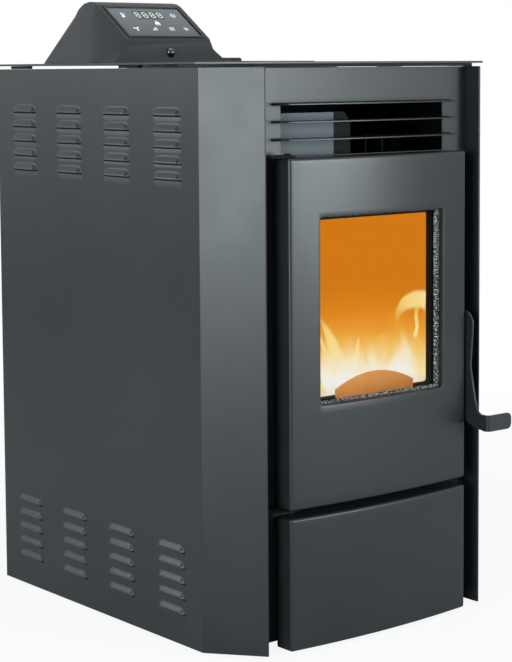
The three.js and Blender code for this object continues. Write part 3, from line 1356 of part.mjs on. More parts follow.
function exhaustImpeller() {
  const back = BLOWER.x - BLOWER.half + BLOWER_WALL + IMPELLER_CLEAR;
  const face = back + IMPELLER_DISC;
  const disc = rod("x", 0, 0, IMPELLER_R, back, face, 20);
  const hub = rod("x", 0, 0, IMPELLER_HUB_R, back, face + VANE.long - PAST, 12);
  const vanes = Array.from({ length: IMPELLER_VANES }, (_, i) => {
    const vane = box([face - PAST, face + VANE.long], [VANE.from, VANE.to], middleSpan(0, VANE.thick));
    return vane.rotateX((2 * Math.PI * i) / IMPELLER_VANES);
  });
  const shaft = rod("x", 0, 0, SHAFT_R, back - SHAFT_TAIL, back + PAST, 12);
  return join(disc, hub, shaft, ...vanes);
}
add("exhaust_impeller", exhaustImpeller(), bareSteel).position.set(0, BLOWER.y, BLOWER.z);

function exhaustMotor() {
  const face = BLOWER.x - BLOWER.half - TOUCH;
  const back = face - EXHAUST_MOTOR.flange;
  const body = rod("x", BLOWER.y, BLOWER.z, EXHAUST_MOTOR.r, back - EXHAUST_MOTOR.long, back + PAST, 16);
  const flange = rod("x", BLOWER.y, BLOWER.z, EXHAUST_MOTOR.flangeR, back, face, 16);
  const bore = rod("x", BLOWER.y, BLOWER.z, SHAFT_R + SHAFT_RUN, face - SHAFT_TAIL, face + PAST, 12);
  return cut(join(body, flange), bore);
}
add("exhaust_motor", exhaustMotor(), bareSteel);

function fluePipe() {
  const collarEnd = FLUE_START + COLLAR;
  return join(
    pipe("y", FLUE_X, FLUE_Z, FLUE_R, FLUE_R - PIPE_WALL, FLUE_START, REAR_Y + PIPE_OUT, 24),
    pipe("y", FLUE_X, FLUE_Z, FLUE_R - PAST, BLOWER_OUTLET_R + TOUCH, FLUE_START, collarEnd, 24),
  );
}
add("flue_pipe", fluePipe(), bareSteel);

function intakePipe() {
  const start = FIREBOX_REAR - FIREBOX_WALL;
  return pipe("y", INTAKE_X, INTAKE_Z, INTAKE_R, INTAKE_R - PIPE_WALL, start, REAR_Y + INTAKE_OUT, 20);
}
add("air_intake_pipe", intakePipe(), galvanised);

// The room air blower's sheet scroll, open behind for the room's air and upwards for the warm air.
function roomBlowerHousing() {
  const [start, end] = FAN_OPEN.map((turn) => turn * Math.PI);
  const round = arc(FAN.y, FAN.z, FAN.r + FAN_CLEAR, start, end, 10).reverse();
  const wallTop = [FAN.y - FAN.r + FAN_SHEET * 2, FAN.z + FAN.r + FAN_MOUTH];
  const scroll = extrude("x", ribbon([...round, wallTop], FAN_SHEET), ...FAN.x);
  const deep = [FAN.y - FAN.r - FAN_CHEEK, FAN.y + FAN.r + FAN_CHEEK];
  const tall = [FAN.z - FAN.r - FAN_CHEEK, FAN.z + FAN.r + FAN_CHEEK_UP];
  const hole = circle(FAN.y, FAN.z, FAN_SHAFT_HOLE_R, 12).reverse();
  const low = PAN_TOP + TOUCH;
  const sides = [FAN.x[0], FAN.x[1] - FAN_SHEET].flatMap((x) => [
    extrude("x", roundedRectangle(deep, tall, FAN_CHEEK_R), x, x + FAN_SHEET, hole),
    box([x, x + FAN_SHEET], deep, [low, FAN.z - FAN.r]),
  ]);
  const soles = [
    [FAN.x[0] - FAN_SOLE, FAN.x[0] + PAST],
    [FAN.x[1] - PAST, FAN.x[1] + FAN_SOLE],
  ].map((x) => box(x, deep, [low, low + FAN_SHEET]));
  return join(scroll, ...sides, ...soles);
}
add("room_blower_housing", roomBlowerHousing(), galvanised);

// The blower's drum: two end discs on a shaft, joined by curved blades round their edge.
function roomBlowerWheel() {
  const x = grown(FAN.x, -FAN_IN);
  const discs = [x[0], x[1] - FAN_SHEET].map((start) =>
    rod("x", 0, 0, FAN.r, start, start + FAN_SHEET, 16),
  );
  const shaft = rod("x", 0, 0, SHAFT_R, ...grown(x, SHAFT_TAIL), 12);
  const edge = [FAN.r - PAST - FAN_VANE.deep, FAN.r - PAST];
  const vanes = Array.from({ length: FAN_VANES }, (_, i) => {
    const vane = box(grown(x, -PAST), edge, middleSpan(0, FAN_VANE.thick));
    return vane.rotateX((2 * Math.PI * i) / FAN_VANES);
  });
  return join(...discs, shaft, ...vanes);
}
add("room_blower_wheel", roomBlowerWheel(), bareSteel).position.set(0, FAN.y, FAN.z);

function roomBlowerMotor() {
  const face = FAN.x[1] + TOUCH;
  const body = rod("x", FAN.y, FAN.z, FAN_MOTOR.r, face, face + FAN_MOTOR.long, 16);
  return cut(body, rod("x", FAN.y, FAN.z, SHAFT_R + SHAFT_RUN, face - PAST, face + FAN_MOTOR.bore, 12));
}
add("room_blower_motor", roomBlowerMotor(), bareSteel);

// The mains inlet in the rear panel, with its three-pin socket left as a plain recess.
function powerInlet() {
  const across = [INLET.x, INLET.x + INLET.w];
  const tall = [INLET.z, INLET.z + INLET.h];
  const face = [REAR_SHEET_Y + TOUCH, REAR_SHEET_Y + TOUCH + INLET.proud];
  const back = REAR_SHEET_Y - INLET.deep;
  const body = box(across, [back, face[0] + PAST], tall);
  const flange = box(grown(across, INLET.flange), face, grown(tall, INLET.flange));
  const start = INLET.x + SOCKET.in;
  const socket = roundedRectangle([start, start + SOCKET.w], grown(tall, -SOCKET.in), SOCKET.r);
  return cut(join(body, flange), extrude("y", socket, back + SOCKET.back, face[1] + PAST));
}
add("power_inlet", powerInlet(), darkPlastic);

// ---------------------------------------------------------------- fire door

// The door's and the drawer front's plan: bowed in front, round at its front corners, straight sides.
function frontPlan(inset, back) {
  const half = FRONT_W / 2 - inset;
  const radius = FRONT_CORNER_R - inset;
  const side = SIDE_Y + inset;
  const crown = bow(half - radius, side, FRONT_BOW, BOW_STEPS).slice(1, -1);
  const left = arc(-half + radius, side + radius, radius, Math.PI, Math.PI * 1.5, 3);
  const right = arc(half - radius, side + radius, radius, -Math.PI / 2, 0, 3);
  return [[-half, back], ...left, ...crown, ...right, [half, back]];
}

// A front folded from one sheet, with four returned sides, open behind.
function foldedFront(low, high) {
  const outer = extrude("z", frontPlan(0, DOOR_BACK), low, high);
  const inner = frontPlan(FRONT_SHEET, DOOR_BACK + PAST);
  return cut(outer, extrude("z", inner, low + FRONT_SHEET, high - FRONT_SHEET));
}

function doorPanel() {
  const opening = windowOutline(0, WINDOW_R);
  const lipOutline = windowOutline(FRONT_SHEET, WINDOW_R + FRONT_SHEET);
  const behindSkin = extrude("z", frontPlan(FRONT_SHEET / 2, DOOR_BACK), DOOR_LOW + PAST, DOOR_HIGH - PAST);
  const lip = common(extrude("y", lipOutline, CROWN_Y, LIP_Y), behindSkin);
  const side = FRONT_W / 2;
  const sideHole = rod("x", LEVER_Y, LEVER_Z, LEVER_PIN_R + HINGE_RUN, side - FRONT_SHEET * 2, side + PAST);
  const pinBore = rod("z", HINGE_X, HINGE_Y, HINGE_PIN_R + HINGE_RUN, DOOR_LOW - PAST, DOOR_HIGH + PAST, 12);
  return cut(
    join(foldedFront(DOOR_LOW, DOOR_HIGH), lip),
    extrude("y", opening, CROWN_Y - PAST, LIP_Y + PAST),
    sideHole,
    pinBore,
  );
}
add("door_panel", doorPanel(), satinPaint);

// The window's outline made larger, or smaller by a negative amount.
function windowOutline(by, radius) {
  return roundedRectangle(grown(WINDOW_X, by), grown(WINDOW_Z, by), radius);
}

// A frame round the window, between two such outlines.
function windowRing(outerBy, innerBy, y, radius) {
  const hole = windowOutline(innerBy, radius - RING_ROUNDER).reverse();
  return extrude("y", windowOutline(outerBy, radius), ...y, hole);
}

function glassRope() {
  return windowRing(GLASS_OVERLAP - ROPE_IN, -ROPE_SHOWS, [ROPE_Y, ROPE_Y + ROPE_FLAT], ROPE_R);
}
add("glass_rope", glassRope(), ropeWeave);

function doorGlass() {
  return extrude("y", windowOutline(GLASS_OVERLAP, GLASS_R), GLASS_Y, GLASS_Y + GLASS_THICK);
}
add("door_glass", doorGlass(), ceramicGlass);

// The arched ember guard that stands behind the glass's lower edge.
function emberGuard() {
  const half = GUARD_W / 2;
  const shoulder = WINDOW_LOW + GUARD_RISE - GUARD_ARCH;
  const arch = bow(half, shoulder, -GUARD_ARCH, GUARD_STEPS).reverse();
  const outline = [[-half, GUARD_LOW], [half, GUARD_LOW], ...arch];
  return extrude("y", outline, RETAINER_Y, RETAINER_Y + GUARD_THICK);
}
add("ember_guard", emberGuard(), castIron);

function glassRetainer() {
  const deep = [RETAINER_Y, RETAINER_Y + RETAINER_DEPTH];
  const ring = windowRing(RETAINER_W - RETAINER_IN, -RETAINER_IN, deep, RETAINER_R);
  const pocket = box(
    middleSpan(0, GUARD_W + 2 * TOUCH),
    [RETAINER_Y - PAST, RETAINER_Y + GUARD_THICK + TOUCH],
    [GUARD_LOW - TOUCH, WINDOW_LOW + GUARD_RISE],
  );
  return cut(ring, pocket);
}
add("glass_retainer", glassRetainer(), stovePaint);

function doorInnerPlate() {
  const half = FRONT_W / 2 - FRONT_SHEET - TOUCH;
  const z = [DOOR_LOW + FRONT_SHEET + TOUCH, DOOR_HIGH - FRONT_SHEET - TOUCH];
  const plate = box([-half, half], [INNER_Y, INNER_Y + INNER_PLATE], z);
  const past = [INNER_Y - PAST, INNER_Y + INNER_PLATE + PAST];
  return cut(plate, extrude("y", windowOutline(-RETAINER_IN, GLASS_R), ...past));
}
add("door_inner_plate", doorInnerPlate(), stovePaint);

// The rope seal on the back of the door, which presses on the front frame round the firebox's throat.
function doorRope() {
  const tall = grown([THROAT_LOW, THROAT_HIGH], DOOR_ROPE_IN);
  const inner = [middleSpan(0, THROAT_W - 2 * DOOR_ROPE_IN), tall];
  const outer = inner.map((span) => grown(span, DOOR_ROPE));
  const hole = roundedRectangle(...inner, DOOR_ROPE_R).reverse();
  const outline = roundedRectangle(...outer, DOOR_ROPE_R + DOOR_ROPE);
  return extrude("y", outline, DOOR_ROPE_Y, FASCIA_Y - TOUCH, hole);
}
add("door_rope", doorRope(), ropeWeave);

// ---------------------------------------------------------------- latch

function latchLever() {
  const x = [LEVER_X, LEVER_X + LEVER_THICK];
  const hole = rod("x", 0, 0, LEVER_PIN_R + HINGE_RUN, ...grown(x, PAST), 16);
  return cut(join(extrude("x", LEVER_LINE, ...x), leverTab()), hole);
}

// The finger tab: the lever's end turned outwards round a bend, with a round end.
function leverTab() {
  const base = LEVER_X + LEVER_THICK;
  const end = LEVER_X + TAB_OUT;
  const centre = [base - TAB_THICK + TAB_BEND_R, TAB_FRONT + TAB_BEND_R];
  const plan = [
    [LEVER_X, TAB_FRONT + TAB_ROOT],
    ...arc(...centre, TAB_BEND_R, Math.PI, Math.PI * 1.5, 4),
    [end, TAB_FRONT],
    [end, TAB_FRONT + TAB_THICK],
    ...arc(...centre, TAB_BEND_R - TAB_THICK, Math.PI * 1.5, Math.PI, 4),
    [base, TAB_FRONT + TAB_ROOT],
  ];
  const z = [TAB_LOW, TAB_LOW + TAB_H];
  const outline = roundedRectangle([LEVER_X - TAB_OUT, end], z, TAB_R, 4);
  const through = [TAB_FRONT - PAST, TAB_FRONT + TAB_ROOT + PAST];
  return common(extrude("z", plan, ...z), extrude("y", outline, ...through));
}
add("latch_lever", latchLever(), satinPaint).position.set(0, LEVER_Y, LEVER_Z);

// The lever's pivot bolt, with its shoulder between the door's side and the lever.
function latchPivot() {
  const wall = FRONT_W / 2;
  const start = wall - FRONT_SHEET - PIVOT_IN;
  const face = LEVER_X + LEVER_THICK;
  return join(
    rod("x", LEVER_Y, LEVER_Z, LEVER_PIN_R, start, face + TOUCH + PAST, 12),
    rod("x", LEVER_Y, LEVER_Z, PIVOT_HEAD_R, start, start + PIVOT_NUT, 6),
    rod("x", LEVER_Y, LEVER_Z, PIVOT_HEAD_R, wall + TOUCH, LEVER_X - TOUCH, 12),
    rod("x", LEVER_Y, LEVER_Z, PIVOT_HEAD_R, face + TOUCH, face + PIVOT_HEAD, 12),
  );
}
add("latch_pivot", latchPivot(), bareSteel);

// ---------------------------------------------------------------- ash drawer

add("ash_drawer_front", foldedFront(DRAWER_LOW, DRAWER_HIGH), satinPaint);

// The ash pan behind the drawer's front, with a flange that closes the front's open back.
function ashPan() {
  const front = DOOR_BACK + TOUCH;
  const tray = box([-TRAY_HALF, TRAY_HALF], [front, TRAY_REAR], [TRAY_LOW, TRAY_HIGH]);
  const inner = TRAY_HALF - TRAY_WALL;
  const hollow = box(
    [-inner, inner],
    [front + TRAY_WALL, TRAY_REAR - TRAY_WALL],
    [TRAY_LOW + TRAY_WALL, TRAY_HIGH + PAST],
  );
  const half = FRONT_W / 2 - TRAY_WALL;
  const flangeZ = [DRAWER_LOW + DRAWER_FOOT, DRAWER_HIGH - DRAWER_LIP];
  const flange = box([-half, half], [front, front + TRAY_WALL], flangeZ);
  return cut(join(tray, flange), hollow);
}
add("ash_pan", ashPan(), galvanised);

export default stove;
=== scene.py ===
"""A free-standing pellet stove: its looks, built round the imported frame. Metres, +Z up, fire door facing -Y."""

import math

import bmesh
import bpy
import numpy as np
from mathutils import Matrix, Vector


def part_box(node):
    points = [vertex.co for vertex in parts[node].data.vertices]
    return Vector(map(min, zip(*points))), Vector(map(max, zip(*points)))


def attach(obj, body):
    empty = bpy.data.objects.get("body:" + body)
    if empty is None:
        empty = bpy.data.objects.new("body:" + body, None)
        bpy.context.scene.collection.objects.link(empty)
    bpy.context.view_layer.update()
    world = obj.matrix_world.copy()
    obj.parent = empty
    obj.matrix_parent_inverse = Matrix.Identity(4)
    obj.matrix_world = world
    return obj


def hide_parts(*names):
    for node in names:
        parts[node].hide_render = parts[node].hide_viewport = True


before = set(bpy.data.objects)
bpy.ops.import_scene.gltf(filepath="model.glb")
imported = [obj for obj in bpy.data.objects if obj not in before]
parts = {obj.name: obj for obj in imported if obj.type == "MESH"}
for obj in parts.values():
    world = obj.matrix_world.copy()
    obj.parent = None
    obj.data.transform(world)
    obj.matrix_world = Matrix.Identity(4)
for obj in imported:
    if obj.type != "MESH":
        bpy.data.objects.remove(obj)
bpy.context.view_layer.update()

# ---------------------------------------------------------------- studio
# A pale floor in an even white surround. A soft lamp stands at the stove's height on each side of its
# front, a narrow one beside the left panel, a broad one overhead and a small one behind on the left.


class Wire:
    """An output in a node tree. Arithmetic on it adds Math nodes, and node() adds any other kind."""

    def __init__(self, tree, socket=None):
        self.tree = tree
        self.socket = socket

    def node(self, kind, settings=None, inputs=None, output=0):
        """A node of a kind, with its settings made first and then its sockets' values or links."""
        made = self.tree.nodes.new(kind)
        for key, value in (settings or {}).items():
            if key == "stops":
                ramp = made.color_ramp
                while len(ramp.elements) < len(value):
                    ramp.elements.new(0.5)
                for stop, (place, colour) in zip(ramp.elements, value):
                    stop.position = place
                    stop.color = (*colour, 1.0)
            else:
                setattr(made, key, value)
        for key, value in (inputs or {}).items():
            if isinstance(value, Wire):
                self.tree.links.new(value.socket, made.inputs[key])
            else:
                made.inputs[key].default_value = value
        return Wire(self.tree, made.outputs[output] if made.outputs else None)

    def maths(self, operation, first, second=0.0):
        return self.node("ShaderNodeMath", {"operation": operation}, {0: first, 1: second})

    def __add__(self, other):
        return self.maths("ADD", self, other)

    __radd__ = __add__

    def __mul__(self, other):
        return self.maths("MULTIPLY", self, other)

    __rmul__ = __mul__

    def __sub__(self, other):
        return self.maths("SUBTRACT", self, other)

    def __rsub__(self, other):
        return self.maths("SUBTRACT", other, self)

    def held(self):
        """The value held between 0 and 1."""
        return self.maths("MINIMUM", self.maths("MAXIMUM", self, 0.0), 1.0)

    def between(self, low, high):
        """Where the value lies from low to high, as 0 to 1, held at both ends."""
        return ((self - low) * (1.0 / (high - low))).held()

    def sine(self):
        return self.maths("SINE", self)

    def mix(self, first, second):
        """The first colour where this value is 0 and the second where it is 1."""
        pair = [(*c, 1.0) if isinstance(c, tuple) else c for c in (first, second)]
        return self.node("ShaderNodeMix", {"data_type": "RGBA"}, {0: self, 6: pair[0], 7: pair[1]}, 2)

    def ramp(self, *stops):
        """Colours at places from 0 to 1, blended between them."""
        return self.node("ShaderNodeValToRGB", {"stops": stops}, {0: self})


def seen_plainly(tree, *others):
    """1 for a ray from the camera, one passed by glass or one of the other kinds named, and 0 for the rest."""
    rays = Wire(tree).node("ShaderNodeLightPath").socket.node
    total = Wire(tree, rays.outputs["Is Camera Ray"]) + Wire(tree, rays.outputs["Is Transmission Ray"])
    for kind in others:
        total = total + Wire(tree, rays.outputs[kind])
    return total.held()


def shade(*srgb):
    """A colour written as a screen shows it, 0 to 255, turned to the linear light that a shader takes."""
    c = np.array(srgb) / 255.0
    linear = np.where(c <= 0.04045, c / 12.92, ((c + 0.055) / 1.055) ** 2.4)
    return tuple(float(v) for v in linear)


bpy.context.scene.view_settings.view_transform = "Standard"
world = bpy.data.worlds.new("studio")
bpy.context.scene.world = world
world.use_nodes = True
world.node_tree.nodes.clear()
air = Wire(world.node_tree)
world_glow = air.node("ShaderNodeBackground", None, {"Color": (0.95, 0.97, 1.0, 1.0), "Strength": 0.27})
world_white = air.node("ShaderNodeBackground", None, {"Color": (1.0, 1.0, 1.0, 1.0), "Strength": 1.0})
world_share = seen_plainly(world.node_tree, "Is Glossy Ray")
world_both = air.node("ShaderNodeMixShader", None, {0: world_share, 1: world_glow, 2: world_white})
air.node("ShaderNodeOutputWorld", None, {"Surface": world_both})


class Finish:
    """A material with one Principled shader, started with its constants, named with _ for each space."""

    def __init__(self, name, **constants):
        self.material = bpy.data.materials.new(name)
        self.material.use_nodes = True
        self.tree = self.material.node_tree
        self.shader = next(n for n in self.tree.nodes if n.type == "BSDF_PRINCIPLED")
        self.start = Wire(self.tree)
        for key, value in constants.items():
            self.shader.inputs[key.replace("_", " ")].default_value = value

    def place(self, scale=(1.0, 1.0, 1.0)):
        """The point on the piece in its own metres, stretched along each axis."""
        at = self.start.node("ShaderNodeTexCoord", None, None, 3)
        return self.start.node("ShaderNodeMapping", None, {"Vector": at, "Scale": scale})

    def along(self):
        """The point's two surface coordinates, u and v, as values."""
        uv = self.start.node("ShaderNodeUVMap", {"uv_map": "surface"})
        split = self.start.node("ShaderNodeSeparateXYZ", None, {0: uv}).socket.node
        return Wire(self.tree, split.outputs[0]), Wire(self.tree, split.outputs[1])

    def spot(self):
        """The point's x, y and z on the piece as values."""
        split = self.start.node("ShaderNodeSeparateXYZ", None, {0: self.place()}).socket.node
        return [Wire(self.tree, output) for output in split.outputs]

    def noise(self, scale, detail=3.0, roughness=0.55, stretch=(1.0, 1.0, 1.0)):
        """Clouded noise from 0 to 1 on the piece's own metres."""
        inputs = {"Vector": self.place(stretch), "Scale": scale, "Detail": detail, "Roughness": roughness}
        return self.start.node("ShaderNodeTexNoise", None, inputs)

    def set(self, socket, wire):
        """Wires a value or colour to one of the shader's sockets."""
        self.tree.links.new(wire.socket, self.shader.inputs[socket])

    def bump(self, height, distance, strength=1.0):
        """Shades the surface as if a height from 0 to 1 raised it by a distance in metres."""
        inputs = {"Height": height, "Distance": distance, "Strength": strength}
        self.set("Normal", self.start.node("ShaderNodeBump", None, inputs))


FLOOR_HALF = 7.0
FLOOR_WHITE = 0.9  # how much of the floor's look by the stove is plain white, and from 2 m away all of it
floor_mesh = bpy.data.meshes.new("studio_floor")
floor_corners = [(-FLOOR_HALF, -FLOOR_HALF, 0), (FLOOR_HALF, -FLOOR_HALF, 0), (FLOOR_HALF, FLOOR_HALF, 0)]
floor_mesh.from_pydata([*floor_corners, (-FLOOR_HALF, FLOOR_HALF, 0)], [], [(0, 1, 2, 3)])
floor = bpy.data.objects.new("studio_floor", floor_mesh)
bpy.context.collection.objects.link(floor)
floor_look = {"Base_Color": (0.9, 0.9, 0.9, 1.0), "Roughness": 0.9, "Specular_IOR_Level": 0.0}
floor_finish = Finish("studio_floor", **floor_look)
floor_tree = floor_finish.tree
floor_glow = floor_finish.start.node("ShaderNodeEmission", None, {"Color": (1.0, 1.0, 1.0, 1.0), "Strength": 1.0})
floor_lit = Wire(floor_tree, floor_finish.shader.outputs[0])
floor_x, floor_y, _ = floor_finish.spot()
floor_away = (floor_x * floor_x + floor_y * floor_y).between(0.5, 4.0)  # from 0.7 to 2 m out, squared
floor_share = seen_plainly(floor_tree) * (floor_away * (1.0 - FLOOR_WHITE) + FLOOR_WHITE)
floor_both = floor_finish.start.node("ShaderNodeMixShader", None, {0: floor_share, 1: floor_lit, 2: floor_glow})
floor_out = next(n for n in floor_tree.nodes if n.type == "OUTPUT_MATERIAL")
floor_tree.links.new(floor_both.socket, floor_out.inputs["Surface"])
floor_mesh.materials.append(floor_finish.material)


def soft_lamp(name, place, target, width, height, power, colour):
    """A rectangular lamp at a place, turned to face a target."""
    data = bpy.data.lights.new(name, "AREA")
    data.shape = "RECTANGLE"
    data.size = width
    data.size_y = height
    data.energy = power
    data.color = colour
    lamp = bpy.data.objects.new(name, data)
    bpy.context.collection.objects.link(lamp)
    lamp.location = place
    lamp.rotation_euler = (Vector(target) - Vector(place)).to_track_quat("-Z", "Y").to_euler()


COOL = (0.87, 0.97, 1.0)
soft_lamp("left_softbox", (-3.0, -1.55, 0.88), (0.0, 0.0, 0.6), 1.0, 1.25, 72, COOL)
soft_lamp("right_softbox", (1.62, -3.2, 0.85), (0.0, 0.0, 0.6), 1.0, 1.1, 74, COOL)
soft_lamp("left_strip", (-3.2, 0.55, 0.95), (0.0, 0.0, 0.6), 0.3, 1.3, 14, COOL)
soft_lamp("overhead", (-0.2, -0.5, 3.2), (0.0, 0.0, 0.6), 2.4, 2.0, 26, COOL)
soft_lamp("behind_left", (-2.3, 2.2, 1.45), (0.0, 0.0, 0.7), 1.0, 1.0, 16, COOL)

camera_data = bpy.data.cameras.new("camera")
camera_data.lens = 100.0
camera_data.sensor_width = 36.0
camera_data.shift_y = -0.15
camera = bpy.data.objects.new("camera", camera_data)
bpy.context.collection.objects.link(camera)
CAMERA_YAW, CAMERA_PITCH, CAMERA_ROLL = (math.radians(a) for a in (38.917, -5.017, -0.385))
camera.location = (-1.8365, -2.2952, 0.8418)
camera.rotation_euler = (
    Matrix.Rotation(-CAMERA_YAW, 3, "Z")
    @ Matrix.Rotation(math.pi / 2 + CAMERA_PITCH, 3, "X")
    @ Matrix.Rotation(CAMERA_ROLL, 3, "Z")
).to_euler()
bpy.context.scene.camera = camera

# ---------------------------------------------------------------- side panels
# Each side is one sheet of steel: a back flange, the flat side, a slanted front corner and a fin
# folded back beside the door. Two groups of louvres are pressed out, each open along its lower lip.

MM = 0.001
charcoal = Finish("satin_charcoal", Metallic=0.0, Specular_IOR_Level=0.3)
charcoal_cloud = charcoal.noise(3.0, 4.0).between(0.3, 0.7)
charcoal.set("Base Color", charcoal_cloud.mix(shade(32, 35, 37), shade(37, 40, 42)))
charcoal.set("Roughness", charcoal.noise(14.0, 3.0).between(0.2, 0.8) * 0.06 + 0.28)
charcoal.bump(charcoal.noise(520.0, 2.0), 0.00010, 0.45)


def coat(names, finish):
    """Gives every named frame piece one finish in all its material slots."""
    for name in names.split():
        slots = parts[name].data.materials
        slots.clear()
        slots.append(finish.material)


def settle(piece, finish, body, slot, *stands_for):
    """A finished piece: its material, the body it rides on, its slot, which is not used, and the frame nodes it
    stands for.
    """
    piece.data.materials.append(finish.material)
    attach(piece, body)
    if stands_for:
        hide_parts(*stands_for)
    return piece


def sheet_of(name, points, closed_rows=False, closed_columns=False, gaps=None, uv=None):
    """A surface over a grid of points (rows, columns, 3), as quads between neighbours.
    A closed direction joins its last line to its first, and quads marked in gaps are left out."""
    rows, columns = points.shape[:2]
    row = np.arange(rows if closed_rows else rows - 1)
    column = np.arange(columns if closed_columns else columns - 1)
    a, b = (grid.ravel() for grid in np.meshgrid(row, column, indexing="ij"))
    if gaps is not None:
        kept = ~gaps.ravel()
        a, b = a[kept], b[kept]
    next_a, next_b = (a + 1) % rows, (b + 1) % columns
    row_a, row_b = a * columns, next_a * columns
    corners = np.stack([row_a + b, row_a + next_b, row_b + next_b, row_b + b], 1)
    mesh = bpy.data.meshes.new(name)
    mesh.vertices.add(rows * columns)
    mesh.vertices.foreach_set("co", points.reshape(-1).astype(np.float32))
    mesh.loops.add(corners.size)
    mesh.loops.foreach_set("vertex_index", corners.reshape(-1).astype(np.int32))
    mesh.polygons.add(len(corners))
    mesh.polygons.foreach_set("loop_start", np.arange(0, corners.size, 4, dtype=np.int32))
    if uv is not None:
        u = np.stack([uv[0][a], uv[0][a], uv[0][a + 1], uv[0][a + 1]], 1)
        v = np.stack([uv[1][b], uv[1][b + 1], uv[1][b + 1], uv[1][b]], 1)
        layer = mesh.uv_layers.new(name="surface")
        layer.data.foreach_set("uv", np.stack([u, v], 2).reshape(-1).astype(np.float32))
    mesh.update(calc_edges=True)
    mesh.validate()
    mesh.polygons.foreach_set("use_smooth", np.ones(len(mesh.polygons), dtype=bool))
    piece = bpy.data.objects.new(name, mesh)
    bpy.context.collection.objects.link(piece)
    return piece


def tidy_mesh(piece, turn_out=True):
    """Merges the piece's doubled points, drops points that no face uses, and turns its faces outwards."""
    body = bmesh.new()
    body.from_mesh(piece.data)
    bmesh.ops.remove_doubles(body, verts=body.verts, dist=1e-6)
    loose = [v for v in body.verts if not v.link_faces]
    bmesh.ops.delete(body, geom=loose, context="VERTS")
    if turn_out:
        bmesh.ops.recalc_face_normals(body, faces=body.faces)
    body.to_mesh(piece.data)
    body.free()
    return piece


def creased(piece, degrees):
    """Shades the piece smoothly, except across edges sharper than an angle."""
    piece.data.set_sharp_from_angle(angle=math.radians(degrees))
    return piece


def thickened(piece, name, thickness, offset):
    """Gives a sheet its thickness, inwards from its face at an offset of -1, to both sides at 0."""
    wall = piece.modifiers.new(name, "SOLIDIFY")
    wall.thickness = thickness
    wall.offset = offset


def evened(piece):
    """Keeps the shading of the piece's flat faces flat right up to their rounded edges."""
    weighted = piece.modifiers.new("flat_faces_stay_flat", "WEIGHTED_NORMAL")
    weighted.weight = 100
    weighted.keep_sharp = True


LOUVRE_PROUD = 5.0 * MM
SIDE_SHEET = 1.4 * MM
side_low, side_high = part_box("left_side_panel")
side_low = (side_low[0] + LOUVRE_PROUD, *side_low[1:])  # the flat sheet's corner, without its louvres
SIDE_BEND_Y = side_low[1] + 76.0 * MM  # where the flat side ends and the slanted corner begins
SIDE_FIN_X = side_high[0]
SIDE_FIN_IN = 8.0 * MM  # how far the fin reaches back past the fascia's face
SIDE_FLANGE = 16.0 * MM
SIDE_BEND_R = 3.0 * MM
SIDE_FOLD_R = 2.5 * MM
LOUVRE_LONG = 69.0 * MM
LOUVRE_TALL = 12.5 * MM
LOUVRE_RAMP = 9.0 * MM  # from its outline in to its full depth
LOUVRE_END = 11.0 * MM  # the stretch at each end where points stand close
LOUVRE_MOUTH = 2.0 * MM  # the slot cut in the sheet below its lip
LOUVRE_COLUMNS_Y = SIDE_BEND_Y + (73.9 + 128.2 * np.arange(4)) * MM
LOUVRE_ROWS = 23 * np.arange(5)
LOUVRE_LIPS_Z = np.concatenate([side_high[2] - (68 + LOUVRE_ROWS) * MM, side_low[2] + (46 + LOUVRE_ROWS) * MM])


def rounded_line(corners, radii, steps=6):
    """A line through corner points, with each inner corner swept round by an arc of its radius."""
    corners = np.asarray(corners, dtype=float)
    made = [corners[:1]]
    for before, corner, after, radius in zip(corners[:-2], corners[1:-1], corners[2:], radii):
        into = (corner - before) / np.linalg.norm(corner - before)
        out = (after - corner) / np.linalg.norm(after - corner)
        turn = math.acos(np.clip(into @ out, -1, 1))
        reach = radius * math.tan(turn / 2)
        start, end = corner - into * reach, corner + out * reach
        share = np.linspace(0, 1, steps + 1)[:, None]
        inner = out - into
        centre = corner + inner / np.linalg.norm(inner) * radius / math.cos(turn / 2)
        ray = (start - centre) * (1 - share) + (end - centre) * share
        made.append(centre + ray / np.linalg.norm(ray, axis=1)[:, None] * radius)
    made.append(corners[-1:])
    return np.concatenate(made)


def refined(line, step):
    """The line with extra points put in, so that no stretch is longer than a step."""
    made = [line[:1]]
    for start, end in zip(line[:-1], line[1:]):
        count = max(1, math.ceil(np.linalg.norm(end - start) / step))
        made.append(start + (end - start) * np.linspace(0, 1, count + 1)[1:, None])
    return np.concatenate(made)


def beside(line):
    """Directions square to a flat line at its points, on its right as it runs."""
    along = np.gradient(line, axis=0)
    return np.stack([along[:, 1], -along[:, 0]], 1) / np.linalg.norm(along, axis=1)[:, None]


